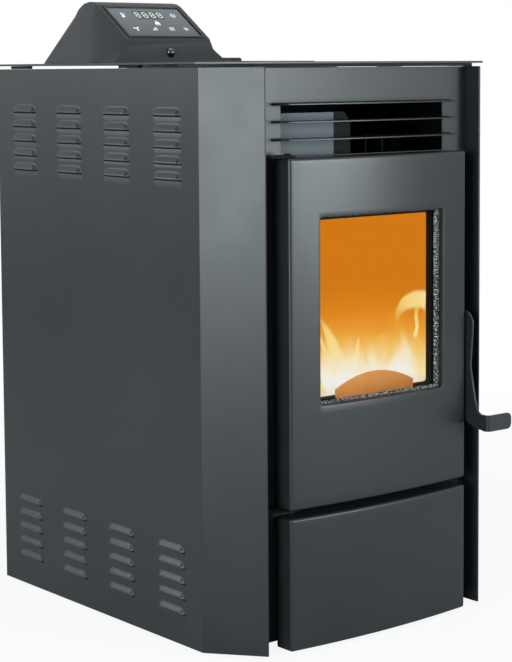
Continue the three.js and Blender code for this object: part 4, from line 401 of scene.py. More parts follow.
def side_panel_grid():
    """Every point of the panel's plan line, raised to every level. Inside a louvre's patch a point stands out
    by its depth, times a fall from lip to top, (1-v)^2 (1+2v), times a ramp in from its outline, which has
    a straight foot and upper corners rounded by its whole height."""
    fin_line_x = SIDE_FIN_X - 1.5 * MM
    corners = [
        (side_low[0] + SIDE_FLANGE, side_high[1]),
        (side_low[0], side_high[1]),
        (side_low[0], SIDE_BEND_Y),
        (fin_line_x, side_low[1] + 0.4 * MM),
        (SIDE_FIN_X, side_low[1] + 3 * MM),
        (SIDE_FIN_X, FASCIA_FACE_Y + SIDE_FIN_IN),
    ]
    plan = rounded_line(corners, [SIDE_BEND_R, SIDE_BEND_R, SIDE_FOLD_R * 0.6, SIDE_FOLD_R])
    plan = refined(plan, 20 * MM)
    # points along the flat side are set anew, close together at each louvre's ends
    on_side = np.abs(plan[:, 0] - side_low[0]) < 1e-6
    first, last = np.flatnonzero(on_side)[[0, -1]]
    half = LOUVRE_LONG / 2
    reach = np.concatenate([np.linspace(0, half - LOUVRE_END, 7), np.linspace(half - LOUVRE_END, half, 12)[1:]])
    spots = np.concatenate([middle + side * reach for middle in LOUVRE_COLUMNS_Y for side in (-1, 1)])
    spots = np.unique(np.round(np.concatenate([spots, plan[first : last + 1, 1]]), 6))[::-1]
    side_line = np.stack([np.full(len(spots), side_low[0]), spots], 1)
    plan = np.concatenate([plan[:first], side_line, plan[last + 1 :]])
    on_side = np.abs(plan[:, 0] - side_low[0]) < 1e-6
    # levels over the whole height and over each louvre, with none inside its mouth
    levels = [np.linspace(side_low[2], side_high[2], 30)]
    for lip in LOUVRE_LIPS_Z:
        levels.append(lip + LOUVRE_TALL * np.linspace(0, 1, 12))
        levels.append([lip - LOUVRE_MOUTH])
    levels = np.unique(np.round(np.concatenate(levels), 6))
    inner_levels = [(levels > lip - LOUVRE_MOUTH + 2e-6) & (levels < lip - 2e-6) for lip in LOUVRE_LIPS_Z]
    levels = levels[~np.any(inner_levels, axis=0)]
    outward = beside(plan)
    points = np.zeros((len(levels), len(plan), 3))
    points[:, :, :2] = plan
    points[:, :, 2] = levels[:, None]
    # how far each point stands out of the flat sheet, and the quads cut out as the louvres' mouths
    stand = np.zeros(points.shape[:2])
    gaps = np.zeros((len(levels) - 1, len(plan) - 1), dtype=bool)
    for lip in LOUVRE_LIPS_Z:
        v = (levels - lip) / LOUVRE_TALL
        patch = (v > -1e-4) & (v <= 1.0001)
        v = np.clip(v, 0, 1)
        fall = np.where(patch, (1 - v) ** 2 * (1 + 2 * v), 0)
        outline = half - LOUVRE_TALL * (1 - np.sqrt(1 - v**2))
        mouth_row = np.abs(levels[1:] - lip) < 3e-6
        for middle in LOUVRE_COLUMNS_Y:
            in_by = outline[:, None] - np.abs(plan[None, :, 1] - middle)
            ramp = np.clip(in_by / LOUVRE_RAMP, 0, 1) * on_side
            ramp = ramp**2 * (3 - 2 * ramp)
            stand += fall[:, None] * ramp * LOUVRE_PROUD
            foot = (np.abs(plan[:, 1] - middle) < half - 0.5 * MM) & on_side
            gaps |= mouth_row[:, None] & (foot[:-1] & foot[1:])[None, :]
    points[:, :, :2] += outward[None, :, :] * stand[:, :, None]
    # the flange that is turned in along the top edge, in three rows
    along = (plan[:, 1] < side_high[1] - 4 * MM) & (plan[:, 0] < SIDE_FIN_X - 20 * MM)
    flange = np.repeat(points[-1:], 3, axis=0)
    for row, reach in enumerate((1.2, 3.0, 16.0)):
        flange[row, :, :2] -= outward * np.where(along, reach * MM, 0.2 * MM * (row + 1))[:, None]
    flange[:, :, 2] -= np.array([0.0, 0.3, 0.3])[:, None] * MM
    gaps = np.concatenate([gaps, np.zeros((3, gaps.shape[1]), dtype=bool)])
    return np.concatenate([points, flange]), gaps


FASCIA_FACE_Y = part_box("front_fascia")[0][1]
left_grid, louvre_mouths = side_panel_grid()
for hand, mirror in (("left", 1.0), ("right", -1.0)):
    panel = sheet_of(f"{hand}_side_sheet", left_grid * (mirror, 1, 1), gaps=louvre_mouths)
    if mirror < 0:
        panel.data.flip_normals()
    tidy_mesh(panel, turn_out=False)
    thickened(panel, "sheet_thickness", SIDE_SHEET, -1.0)
    evened(panel)
    creased(panel, 50)
    settle(panel, charcoal, "cabinet", "satin_charcoal", f"{hand}_side_panel")

# ---------------------------------------------------------------- fascia, blades, top plate and lid
# The fascia is folded sheet with the warm air outlet cut in it. Three bowed blades are pushed through
# its slits from behind. The flat top plate overhangs the body by 2 mm, and the hopper's lid lies on it.


def edged(name, node, width, finish, body, slot, segments=2):
    """A frame piece's own shape with its sharp edges rounded over by a small width."""
    piece = bpy.data.objects.new(name, parts[node].data.copy())
    piece.data.materials.clear()
    bpy.context.collection.objects.link(piece)
    shape = bmesh.new()
    shape.from_mesh(piece.data)
    bmesh.ops.remove_doubles(shape, verts=shape.verts, dist=2e-6)
    bmesh.ops.dissolve_limit(shape, angle_limit=math.radians(1.0), verts=shape.verts, edges=shape.edges)
    shape.to_mesh(piece.data)
    shape.free()
    piece.data.polygons.foreach_set("use_smooth", np.ones(len(piece.data.polygons), dtype=bool))
    rounding = piece.modifiers.new("edge_rounding", "BEVEL")
    rounding.width = width
    rounding.segments = segments
    rounding.limit_method = "ANGLE"
    rounding.angle_limit = math.radians(40)
    creased(piece, 40)
    evened(piece)
    return settle(piece, finish, body, slot, node)


SHEET_EDGE = 0.5 * MM
PLATE_EDGE = 0.8 * MM
edged("outlet_fascia", "front_fascia", SHEET_EDGE, charcoal, "cabinet", "satin_charcoal")
for number in (1, 2, 3):
    edged(f"outlet_blade_{number}", f"grille_blade_{number}", SHEET_EDGE, charcoal, "cabinet", "satin_charcoal")
edged("top_sheet", "top_plate", PLATE_EDGE, charcoal, "cabinet", "satin_charcoal")
edged("lid_sheet", "hopper_lid", PLATE_EDGE, charcoal, "hopper_lid", "satin_charcoal")

# ---------------------------------------------------------------- matt black steel
# The frame behind the door, the rear panel, the firebox, the base pan and the inner sheets are steel
# with a dry heat-proof black paint, a little cloudy.

heat_black = Finish("stove_black", Metallic=0.0, Specular_IOR_Level=0.12)
heat_cloud = heat_black.noise(7.0, 5.0).between(0.3, 0.7)
heat_black.set("Base Color", heat_cloud.mix(shade(10, 10, 11), shade(17, 17, 18)))
heat_black.set("Roughness", heat_black.noise(30.0, 3.0) * 0.2 + 0.66)
heat_black.bump(heat_black.noise(900.0, 2.0), 0.0001, 0.4)
coat("base_pan auger_tube pellet_chute firebox_shell glass_retainer door_inner_plate", heat_black)
edged("door_frame", "front_frame", SHEET_EDGE, heat_black, "cabinet", "stove_black")
edged("back_sheet", "rear_panel", SHEET_EDGE, heat_black, "cabinet", "stove_black")

# ---------------------------------------------------------------- behind the louvres
# A thin black sheet of painted shade stands just inside each group of louvres. It stands for the dark inside of
# the cabinet seen through the louvres' mouths, so that nothing shines through the cabinet from one side to the
# other.

SHADE_SHEET_THICK = 0.8 * MM
SHADE_SHEET_IN = 4.0 * MM
SHADE_SHEET_PAST_COLUMNS = 42.0 * MM
SHADE_SHEET_BELOW = 12.0 * MM
SHADE_SHEET_ABOVE = 16.0 * MM
for hand, face_x, way in (("left", side_low[0], 1), ("right", -side_low[0], -1)):
    for group, lips in (("upper", LOUVRE_LIPS_Z[:5]), ("lower", LOUVRE_LIPS_Z[5:])):
        y_ends = (LOUVRE_COLUMNS_Y[0] - SHADE_SHEET_PAST_COLUMNS, LOUVRE_COLUMNS_Y[-1] + SHADE_SHEET_PAST_COLUMNS)
        z_ends = (min(lips) - SHADE_SHEET_BELOW, max(lips) + SHADE_SHEET_ABOVE)
        inside = face_x + way * SHADE_SHEET_IN
        corners = np.array([[(inside, y, z) for y in y_ends] for z in z_ends])
        # painted shade: a black sheet for the cabinet's dark inside behind the louvres
        shade_sheet = sheet_of(f"{hand}_{group}_louvre_shade_sheet", corners)
        thickened(shade_sheet, "shade_sheet_thickness", SHADE_SHEET_THICK, 0.0)
        settle(shade_sheet, heat_black, "cabinet", "stove_black")

# ---------------------------------------------------------------- rear screws
# Black pan-head screws hold the rear panel to the side panels' back flanges, and each head has a
# cross recess.

SCREW_R = 4.0 * MM
SCREW_H = 2.2 * MM
SCREW_IN = 8.0 * MM  # from the cabinet's side
SCREW_HEIGHTS = (0.03, 0.19, 0.35, 0.51, 0.67, 0.82)


def screw_heads(name, centres, axis, finish, body, slot):
    """Pan heads at some centres. Each is a profile that is flat in its middle and rounded down at its rim,
    turned round the axis, and its inner rings are pushed in along four arms as a cross recess."""
    turn = np.linspace(0, 2 * np.pi, 24, endpoint=False)
    profile = np.array([(1.0, 0.0), (1.0, 0.35), (0.9, 0.75), (0.72, 0.95), (0.55, 1.0), (0.5, 1.0), (0.2, 0.98)])
    recess = np.array([0, 0, 0, 0, 0, 0.35, 0.6])
    cross = np.cos(4 * turn) > 0.2
    rings = np.zeros((len(profile) + 1, len(turn), 3))
    for k, (across, up) in enumerate(profile):
        rings[k, :, 0] = across * SCREW_R * np.cos(turn)
        rings[k, :, 1] = across * SCREW_R * np.sin(turn)
        rings[k, :, 2] = SCREW_H * (up - recess[k] * cross)
    rings[-1, :, 2] = SCREW_H * 0.35
    aim = Vector((0, 0, 1)).rotation_difference(Vector(axis)).to_matrix()
    heads = []
    for centre in centres:
        placed = rings @ np.array(aim).T + np.array(centre)
        heads.append(tidy_mesh(sheet_of(name, placed, closed_columns=True)))
    joined = merged(name, heads)
    creased(joined, 35)
    return settle(joined, finish, body, slot)


def merged(name, pieces):
    """Several pieces made one mesh."""
    whole = bmesh.new()
    for piece in pieces:
        whole.from_mesh(piece.data)
    mesh = bpy.data.meshes.new(name)
    whole.to_mesh(mesh)
    whole.free()
    for piece in pieces:
        bpy.data.objects.remove(piece)
    made = bpy.data.objects.new(name, mesh)
    bpy.context.collection.objects.link(made)
    return made


zinc_black = Finish("blackened_screws", Metallic=0.7)
zinc_black.set("Base Color", zinc_black.noise(300.0).mix(shade(60, 61, 63), shade(84, 85, 87)))
zinc_black.set("Roughness", zinc_black.noise(500.0) * 0.2 + 0.35)
screw_across = (side_low[0] + SCREW_IN, -side_low[0] - SCREW_IN)
screw_places = [(across, side_high[1], height) for height in SCREW_HEIGHTS for across in screw_across]
screw_heads("rear_screws", screw_places, (0, 1, 0), zinc_black, "cabinet", "bare_steel")

# ---------------------------------------------------------------- fire door
# The door's face is one sheet bowed forward, with four sides folded back and a lip folded in round
# the window. Its closed outline is carried from the folded sides' inside, over the face, to the lip.

door_low, door_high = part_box("door_panel")
rope_low, rope_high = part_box("glass_rope")
ROPE_SHOWS = 9.5 * MM  # how far the window's rope comes in past the lip at the sides
ROPE_SHOWS_BELOW = 5.0 * MM
ROPE_SHOWS_ABOVE = 2.5 * MM
FRONT_RISE = 10.6 * MM  # how far the bowed fronts' middle stands before their sides
FRONT_FOLD_R = 4.0 * MM
FRONT_SHEET = 2.5 * MM
FRONT_CORNER_R = 3.5 * MM  # where two folded sides meet
FRONT_INSIDE_R = 1.5 * MM  # the same, on the sheet's inside
FRONT_FACE_R = 1.1 * MM  # at the face's corners, past the fold
WINDOW_LIP = 14.0 * MM
WINDOW_IN = 53.3 * MM  # from the door's side
WINDOW_UP = 147.3 * MM  # from the door's foot
WINDOW_DOWN = 85.0 * MM  # from the door's top


def frame_ring(half, low, high, radius, across=28, up=10, corner=7):
    """Points round a rectangle in x and z with round corners, each side split evenly."""
    turn = np.linspace(0, np.pi / 2, corner + 1)
    arcs = []
    for sx, sz, start in ((1, 1, 0), (-1, 1, 1), (-1, -1, 2), (1, -1, 3)):
        angle = turn + start * np.pi / 2
        cx = sx * (half - radius)
        cz = (high - radius) if sz > 0 else (low + radius)
        arcs.append(np.stack([cx + radius * np.cos(angle), cz + radius * np.sin(angle)], 1))
    made = []
    for k, count in enumerate((across, up, across, up)):
        start, end = arcs[k][-1], arcs[(k + 1) % 4][0]
        share = np.linspace(0, 1, count + 1)[1:-1, None]
        made += [arcs[k], start + (end - start) * share]
    return np.concatenate(made)


def bowed(ring, back, half, crown):
    """A ring set back by some distance from the bowed face, y = crown + rise (x / half)^2 + back."""
    y = crown + FRONT_RISE * (ring[:, 0] / half) ** 2 + back
    return np.stack([ring[:, 0], y, ring[:, 1]], 1)


def flat_ring(ring, y):
    """A ring in x and z set upright at one y."""
    return np.stack([ring[:, 0], np.full(len(ring), y), ring[:, 1]], 1)


def inset_ring(low, high, by, radius):
    """A ring round the front's box, drawn in from its sides by some distance."""
    return frame_ring(high[0] - by, low[2] + by, high[2] - by, radius)


def folded_rings(low, high):
    """Rings of a folded front from its back edge's inside, over that edge and its sides, and round the fold,
    a quarter circle, to its face's edge."""
    half, crown = high[0], low[1]
    rings = [
        flat_ring(inset_ring(low, high, FRONT_SHEET, FRONT_INSIDE_R), high[1]),
        flat_ring(inset_ring(low, high, 0, FRONT_CORNER_R), high[1]),
        flat_ring(inset_ring(low, high, 0, FRONT_CORNER_R), crown + FRONT_RISE + FRONT_FOLD_R + 1 * MM),
    ]
    for turn in np.radians(np.linspace(0, 90, 8)):
        inset = FRONT_FOLD_R * (1 - np.cos(turn))
        ring = inset_ring(low, high, inset, max(FRONT_CORNER_R - inset * 0.6, 0.8 * MM))
        rings.append(bowed(ring, FRONT_FOLD_R * (1 - np.sin(turn)), half, crown))
    return rings


def door_skin():
    """The folded rings, then rings blended evenly from the face's edge to the window's, which turn in round
    a quarter circle to the lip, and come back along the sheet's inside."""
    half, crown = door_high[0], door_low[1]
    rings = folded_rings(door_low, door_high)
    edge = inset_ring(door_low, door_high, FRONT_FOLD_R, FRONT_FACE_R)
    fold = 1.6 * MM

    def window(by, radius):
        return frame_ring(window_half + by, window_low - by, window_high + by, radius)

    for share in np.linspace(0, 1, 14)[1:]:
        rings.append(bowed(edge * (1 - share) + window(fold, 6.6 * MM) * share, 0, half, crown))
    for turn in np.radians(np.linspace(0, 90, 5))[1:]:
        ring = window(fold * (1 - np.sin(turn)), 5 * MM + fold * (1 - np.sin(turn)))
        rings.append(bowed(ring, fold * (1 - np.cos(turn)), half, crown))
    lip_y = crown + WINDOW_LIP
    rings.append(flat_ring(window(0, 5 * MM), lip_y))
    rings.append(flat_ring(window(FRONT_SHEET, 7 * MM), lip_y))
    rings.append(bowed(window(FRONT_SHEET + 1 * MM, 8 * MM), FRONT_SHEET, half, crown))
    inner = inset_ring(door_low, door_high, FRONT_SHEET, FRONT_INSIDE_R)
    rings.append(bowed(inner, FRONT_SHEET, half, crown))
    return np.array(rings)


window_half = door_high[0] - WINDOW_IN
window_low = door_low[2] + WINDOW_UP
window_high = door_high[2] - WINDOW_DOWN
door_face = tidy_mesh(sheet_of("door_face", door_skin(), closed_rows=True, closed_columns=True))
creased(door_face, 40)
settle(door_face, charcoal, "fire_door", "satin_charcoal", "door_panel")

# ---------------------------------------------------------------- ash drawer's front
# Folded and bowed as the door is, from one plain sheet without a window, with its sides folded back.
# It is fixed to the front of the ash pan and slides out with it.

drawer_low, drawer_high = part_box("ash_drawer_front")


def drawer_skin():
    """The folded rings, then rings that close in on the middle of the bowed face, and the same behind it."""
    half, crown = drawer_high[0], drawer_low[1]
    rings = folded_rings(drawer_low, drawer_high)
    edge = inset_ring(drawer_low, drawer_high, FRONT_FOLD_R, FRONT_FACE_R)
    middle = np.array([0.0, (drawer_low[2] + drawer_high[2]) / 2])
    for share in np.linspace(1, 0, 16)[1:]:
        rings.append(bowed(middle + (edge - middle) * share, 0, half, crown))
    inner = inset_ring(drawer_low, drawer_high, FRONT_SHEET, FRONT_INSIDE_R)
    for share in np.linspace(0, 1, 6):
        rings.append(bowed(middle + (inner - middle) * share, FRONT_SHEET, half, crown))
    return np.array(rings)


drawer_face = tidy_mesh(sheet_of("ash_drawer_face", drawer_skin(), closed_rows=True, closed_columns=True))
creased(drawer_face, 40)
settle(drawer_face, charcoal, "ash_drawer", "satin_charcoal", "ash_drawer_front")

# ---------------------------------------------------------------- rope seals
# Woven glass-fibre rope, black with pale flecks: a flat one between the window's lip and the glass,
# and a round one on the door's back that presses on the front frame. Painted shade dims the flecks in the
# plait's hollows and leaves the rope's back and outer side plain black.

rope = Finish("glass_rope", Metallic=0.0, Roughness=0.95)
ROPE_PLAIT = 3.4 * MM  # length of one crossing of the plait
ROPE_PRESSED = 0.93  # its own width and depth, as a share of the groove's, beside the plait's swell
ROPE_CORNER_R = 9.0 * MM
rope_u, rope_v = rope.along()
along_rope = (rope_u * (2 * math.pi)).sine()
round_rope = (rope_v * (4 * math.pi) + 0.6).sine()
# painted shade: no pale flecks on the rope's back and outer side, and flecks dimmed in the plait's hollows
rope_shaded_side = rope_v.between(0.10, 0.18) * (1.0 - rope_v.between(0.64, 0.72))
rope_weave = (along_rope * round_rope).between(0.0, 0.5)
rope_fleck = rope.noise(430.0, 2.0).between(0.5, 0.58)
rope_flecks_and_shade = rope_fleck * (rope_weave * 0.6 + 0.4) * (1.0 - rope_shaded_side)
rope.set("Base Color", rope_flecks_and_shade.ramp((0.0, shade(11, 12, 12)), (1.0, shade(206, 209, 207))))
rope.bump(rope_weave, 0.0006, 0.8)


def rope_round(name, ring, y, wide, deep):
    """An oval carried round a closed ring in x and z, its skin raised by the plait's wave, sin(a) sin(2b),
    where a runs along the rope and b round it."""
    path = np.stack([ring[:, 0], np.full(len(ring), y), ring[:, 1]], 1)
    closed = np.concatenate([path, path[:1]])
    length = np.concatenate([[0], np.cumsum(np.linalg.norm(np.diff(closed, axis=0), axis=1))])
    steps = int(length[-1] / ROPE_PLAIT) * 5
    place = np.linspace(0, length[-1], steps + 1)
    centre = np.stack([np.interp(place, length, closed[:, k]) for k in range(3)], 1)
    tangent = np.gradient(centre, axis=0)
    tangent[0] = tangent[-1] = centre[1] - centre[-2]
    tangent /= np.linalg.norm(tangent, axis=1)[:, None]
    sideways = np.cross(tangent, (0, 1, 0))
    turn = np.linspace(0, 2 * np.pi, 17)
    run = place / length[-1] * round(length[-1] / ROPE_PLAIT)
    wave = np.sin(2 * np.pi * run[:, None]) * np.sin(2 * turn + 0.6)
    swell = 1 + 0.07 * wave
    points = centre[:, None, :] + sideways[:, None, :] * (np.cos(turn) * swell * wide / 2)[:, :, None]
    points[:, :, 1] += np.sin(turn) * swell * deep / 2
    return tidy_mesh(sheet_of(name, points, uv=(run, turn / (2 * np.pi))))


rope_middle = (rope_low[1] + rope_high[1]) / 2
rope_inner_half = window_half - ROPE_SHOWS
rope_wide = rope_high[0] - rope_inner_half
rope_ring = frame_ring(
    rope_inner_half + rope_wide / 2,
    window_low + ROPE_SHOWS_BELOW - rope_wide / 2,
    window_high - ROPE_SHOWS_ABOVE + rope_wide / 2,
    ROPE_CORNER_R,
    corner=10,
)
rope_deep = (rope_high[1] - rope_low[1]) * ROPE_PRESSED
window_rope = rope_round("window_rope", rope_ring, rope_middle, rope_wide * ROPE_PRESSED, rope_deep)
settle(window_rope, rope, "fire_door", "glass_rope", "glass_rope")
seal_low, seal_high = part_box("door_rope")
SEAL_WIDE = 10.0 * MM
SEAL_CORNER_R = 11.0 * MM
seal_in = SEAL_WIDE / 2
seal_ends = (seal_low[2] + seal_in, seal_high[2] - seal_in)
seal_ring = frame_ring(seal_high[0] - seal_in, *seal_ends, SEAL_CORNER_R, corner=10)
seal_middle = (seal_low[1] + seal_high[1]) / 2
seal_deep = (seal_high[1] - seal_low[1]) * ROPE_PRESSED
door_seal = rope_round("door_seal", seal_ring, seal_middle, SEAL_WIDE * ROPE_PRESSED, seal_deep)
settle(door_seal, rope, "fire_door", "glass_rope", "door_rope")

# ---------------------------------------------------------------- window glass and ember guard
# A clear ceramic pane, faintly brown with soot towards its edges, is clamped behind the rope. A low
# arched plate of cast iron stands behind its lower edge and is lit orange by the fire; that light is painted on it
# as its own glow.

GLASS_HALF = 0.13  # half the pane's clear width
GLASS_FOOT_Z = 0.375
GUARD_Z = (0.3598, 0.3958)  # the guard's foot and crown
glass = Finish("fire_glass", Metallic=0.0, Roughness=0.04, Specular_IOR_Level=0.3)
glass_x, _, glass_z = glass.spot()
side_soot = glass_x.maths("ABSOLUTE", glass_x * (1 / GLASS_HALF)).between(0.86, 1.05)
foot_soot = (GLASS_FOOT_Z - glass_z).between(-0.01, 0.02)
soot = ((side_soot + foot_soot) * glass.noise(40.0, 4.0)).held()
glass.set("Base Color", soot.mix(shade(30, 24, 18), shade(58, 44, 30)))
glass.set("Alpha", soot * 0.25 + 0.05)
coat("door_glass", glass)

guard = Finish("ember_guard", Metallic=0.3, Roughness=0.7, Emission_Strength=1.0)
guard_x, _, guard_z = guard.spot()
guard_up = guard_z.between(*GUARD_Z)
# painted firelight: the guard glows orange, lighter to the left and towards its crown, clouded by noise
guard_painted_firelight = guard.noise(60.0, 5.0) * 0.5 - guard_x * 2.0 + guard_up * 0.45
guard.set("Base Color", guard.noise(220.0).mix(shade(60, 40, 24), shade(84, 58, 34)))
guard.set("Emission Color", guard_painted_firelight.between(0.1, 0.9).mix(shade(172, 98, 22), shade(218, 148, 62)))
guard.bump(guard.noise(420.0, 3.0), 0.0004, 0.6)
edged("arched_guard", "ember_guard", 0.4 * MM, guard, "fire_door", "cast_iron")

# ---------------------------------------------------------------- fire
# The firebox is full of orange firelight, which is nearly white low down where the pellets burn.
# It is made as a glowing lining within the firebox's walls and curtains of flame that stand in the pot.

FIRE_LOW = 330.0 * MM
FIRE_HIGH = 685.0 * MM
FIRE_HALF = 150.0 * MM
FIRE_FRONT = -272.0 * MM
FIRE_MOUTH_HALF = 126.0 * MM  # the lining closes in to this behind the door
FIRE_MOUTH_Y = -284.0 * MM
FIRE_BACK = 10.0 * MM
FIRE_PALE_Z = (0.325, 0.475)  # from its palest, at the pellets, up to its deepest orange

only_light = {
    "Base_Color": (0.0, 0.0, 0.0, 1.0),
    "Roughness": 1.0,
    "Specular_IOR_Level": 0.0,
    "Emission_Strength": 1.0,
}
firelight = Finish("firelight", **only_light)
_, light_y, light_z = firelight.spot()
light_height = light_z + light_y * 0.15 + (firelight.noise(9.0, 3.0) - 0.5) * 0.05
light_ramp = (
    (0.0, shade(255, 236, 184)),
    (0.3, shade(252, 205, 112)),
    (0.5, shade(243, 164, 56)),
    (0.75, shade(229, 138, 31)),
    (1.0, shade(218, 126, 21)),
)
firelight.set("Emission Color", light_height.between(*FIRE_PALE_Z).ramp(*light_ramp))


def lining():
    """A U in plan, x = half sin(t)^0.5 and y from the front to the back by cos(t)^0.5, raised straight, with
    its ends turned in behind the door."""
    t = np.linspace(-np.pi / 2, np.pi / 2, 61)
    x = FIRE_HALF * np.sign(np.sin(t)) * np.abs(np.sin(t)) ** 0.5
    y = FIRE_FRONT + (FIRE_BACK - FIRE_FRONT) * np.cos(t) ** 0.5
    x = np.concatenate([[-FIRE_MOUTH_HALF], x, [FIRE_MOUTH_HALF]])
    y = np.concatenate([[FIRE_MOUTH_Y], y, [FIRE_MOUTH_Y]])
    z = np.linspace(FIRE_LOW, FIRE_HIGH, 24)[:, None]
    return np.stack(np.broadcast_arrays(x, y, z), -1)


settle(sheet_of("firelight_lining", lining()), firelight, "cabinet", "fire_glass")


def flame_finish(name, hot_to_cool, clear):
    """Light in colours from the root's to the tip's, with upright streaks. It clears towards the root, where v
    is 0, towards the tip, where v is 1, and towards both sides, over a share of the width."""
    finish = Finish(name, **only_light)
    u, v = finish.along()
    streak = finish.noise(30.0, 4.0, 0.55, (1.0, 1.0, 0.4)) - 0.5
    finish.set("Emission Color", (v + streak * 0.7).held().ramp(*hot_to_cool))
    sides = u.between(0.0, clear) * (1.0 - u).between(0.0, clear)
    ends = v.between(0.0, 0.12) * (1.0 - v).between(0.0, 0.35)
    finish.set("Alpha", (sides * ends * (1.0 + streak * 0.9)).held())
    return finish


white_hot = (
    (0.0, shade(250, 236, 205)),
    (0.35, shade(251, 249, 244)),
    (0.6, shade(253, 238, 196)),
    (0.85, shade(251, 196, 92)),
    (1.0, shade(244, 168, 58)),
)
yellow_hot = ((0.0, shade(255, 236, 176)), (0.5, shade(255, 222, 134)), (1.0, shade(252, 200, 104)))
cloud = flame_finish("flame_cloud", white_hot, 0.16)
lick = flame_finish("flame_lick", yellow_hot, 0.22)


def flame_curtain(name, y, low, top_line, finish):
    """A sheet from a low edge to a top line through (x, z) points in millimetres, waving in y by a sine."""
    tops = np.array(top_line) / 1000
    x = np.linspace(tops[0, 0], tops[-1, 0], 90)
    v = np.linspace(0, 1, 40)
    kernel = np.hanning(9) / np.hanning(9).sum()
    top = np.convolve(np.pad(np.interp(x, tops[:, 0], tops[:, 1]), 4, mode="edge"), kernel, mode="valid")
    wave = 5 * MM * np.sin(x * 70 + v[:, None] * 5)
    points = np.stack(np.broadcast_arrays(x, y + wave, low + v[:, None] * (top - low)), -1)
    piece = sheet_of(name, points.transpose(1, 0, 2), uv=(np.linspace(0, 1, len(x)), v))
    return settle(piece, finish, "burn_pot", "fire_glass")


def flame_ribbon(name, path, widths, finish):
    """A strip along a smooth path of (x, y, z) points in millimetres, as wide across it, in x and z, as its
    widths say, its middle bowed back by half a wave of a cosine."""
    path = np.array(path) / 1000
    share = np.linspace(0, 1, len(path))
    v = np.linspace(0, 1, 48)
    kernel = np.hanning(11) / np.hanning(11).sum()
    line = np.stack([np.interp(v, share, path[:, k]) for k in range(3)], 1)
    ends = np.pad(line, ((5, 5), (0, 0)), mode="reflect", reflect_type="odd")
    line = np.stack([np.convolve(ends[:, k], kernel, mode="valid") for k in range(3)], 1)
    along = np.gradient(line, axis=0)
    across = np.stack([along[:, 2], np.zeros(len(v)), -along[:, 0]], 1)
    across /= np.linalg.norm(across, axis=1)[:, None]
    wide = np.interp(v, share, np.array(widths) * MM)
    u = np.linspace(0, 1, 14)
    points = line[None] + across[None] * ((u[:, None] - 0.5) * wide[None])[:, :, None]
    points[:, :, 1] += 3 * MM * np.cos(np.pi * (u[:, None] - 0.5))
    return settle(sheet_of(name, points, uv=(u, v)), finish, "burn_pot", "fire_glass")


CURTAIN_TOPS = {
    "flames_behind": [(-100, 380), (-60, 405), (-30, 395), (20, 415), (60, 400), (100, 420), (148, 390)],
    "flames_middle": [(-90, 410), (-50, 432), (0, 422), (50, 430), (100, 420), (130, 442), (150, 420)],
    "flames_before": [(-75, 430), (-45, 455), (-10, 450), (30, 440), (70, 436), (120, 452), (156, 420)],
}
for (name, top_line), y, up in zip(CURTAIN_TOPS.items(), (-95, -180, -238), (0, 0, 4)):
    flame_curtain(name, y * MM, FIRE_LOW + up * MM, top_line, cloud)

RIBBONS = {  # each one's path from root to tip, and its widths
    "flame_lick_left": (
        [(-36, -256, 405), (-44, -257, 432), (-58, -258, 457), (-74, -258, 482)],
        [34, 26, 14, 3],
    ),
    "flame_streak_left": (
        [(-52, -252, 400), (-57, -253, 425), (-66, -254, 445), (-78, -255, 466)],
        [9, 8, 6, 2],
    ),
    "flame_spike_middle": (
        [(10, -252, 405), (9, -252, 420), (11, -252, 434), (10, -252, 447)],
        [14, 10, 6, 2],
    ),
    "flame_strand_right": (
        [(130, -250, 425), (136, -250, 444), (132, -251, 462), (137, -252, 485)],
        [12, 9, 9, 12],
    ),
    "flame_hood_right": (
        [(156, -256, 470), (146, -256, 487), (124, -256, 488), (104, -256, 484), (90, -256, 472), (86, -256, 452)],
        [26, 32, 32, 27, 17, 6],
    ),
    "flame_strand_low": (
        [(-58, -258, 345), (-63, -258, 360), (-70, -258, 378), (-74, -258, 400)],
        [10, 9, 8, 4],
    ),
}
for name, (path, widths) in RIBBONS.items():
    flame_ribbon(name, path, widths, lick)

# ---------------------------------------------------------------- bare steel
# The motors' cans, the auger, the blowers' wheels, the igniter and the lid's hinge pin are plain
# steel, drawn or turned, with fine marks along the way they were made.

steel = Finish("bare_steel", Metallic=1.0)
steel_cloud = steel.noise(20.0, 4.0).between(0.3, 0.7)
steel.set("Base Color", steel_cloud.mix(shade(148, 151, 154), shade(178, 181, 184)))
steel.set("Roughness", steel.noise(60.0, 4.0, 0.6, (1.0, 14.0, 1.0)) * 0.25 + 0.22)
steel.bump(steel.noise(700.0, 2.0, 0.5, (1.0, 8.0, 1.0)), 0.00008, 0.5)
coat(
    "lid_hinge_pin auger auger_motor igniter exhaust_impeller exhaust_motor room_blower_wheel "
    "room_blower_motor",
    steel,
)

# ---------------------------------------------------------------- galvanised sheet
# The hopper, the smoke duct, the blower's housing and the ash pan are folded from sheet with a
# spangled coat of zinc.

zinc = Finish("galvanised_sheet", Metallic=0.85)
spangle_cells = {"Vector": zinc.place(), "Scale": 240.0}
spangle_colour = zinc.start.node("ShaderNodeTexVoronoi", None, spangle_cells, 1)
spangle = zinc.start.node("ShaderNodeSeparateColor", None, {0: spangle_colour})
zinc.set("Base Color", spangle.mix(shade(146, 150, 153), shade(166, 170, 172)))
zinc.set("Roughness", spangle * 0.2 + 0.34)
zinc.bump(zinc.noise(90.0, 3.0), 0.0002, 0.3)
coat("hopper smoke_duct room_blower_housing ash_pan", zinc)

# ---------------------------------------------------------------- cast iron
# The firebox's back plate, the burn pot and its holder and the exhaust housing are sand castings,
# rough and browned by the heat. The heat exchanger's fins are painted stove black.

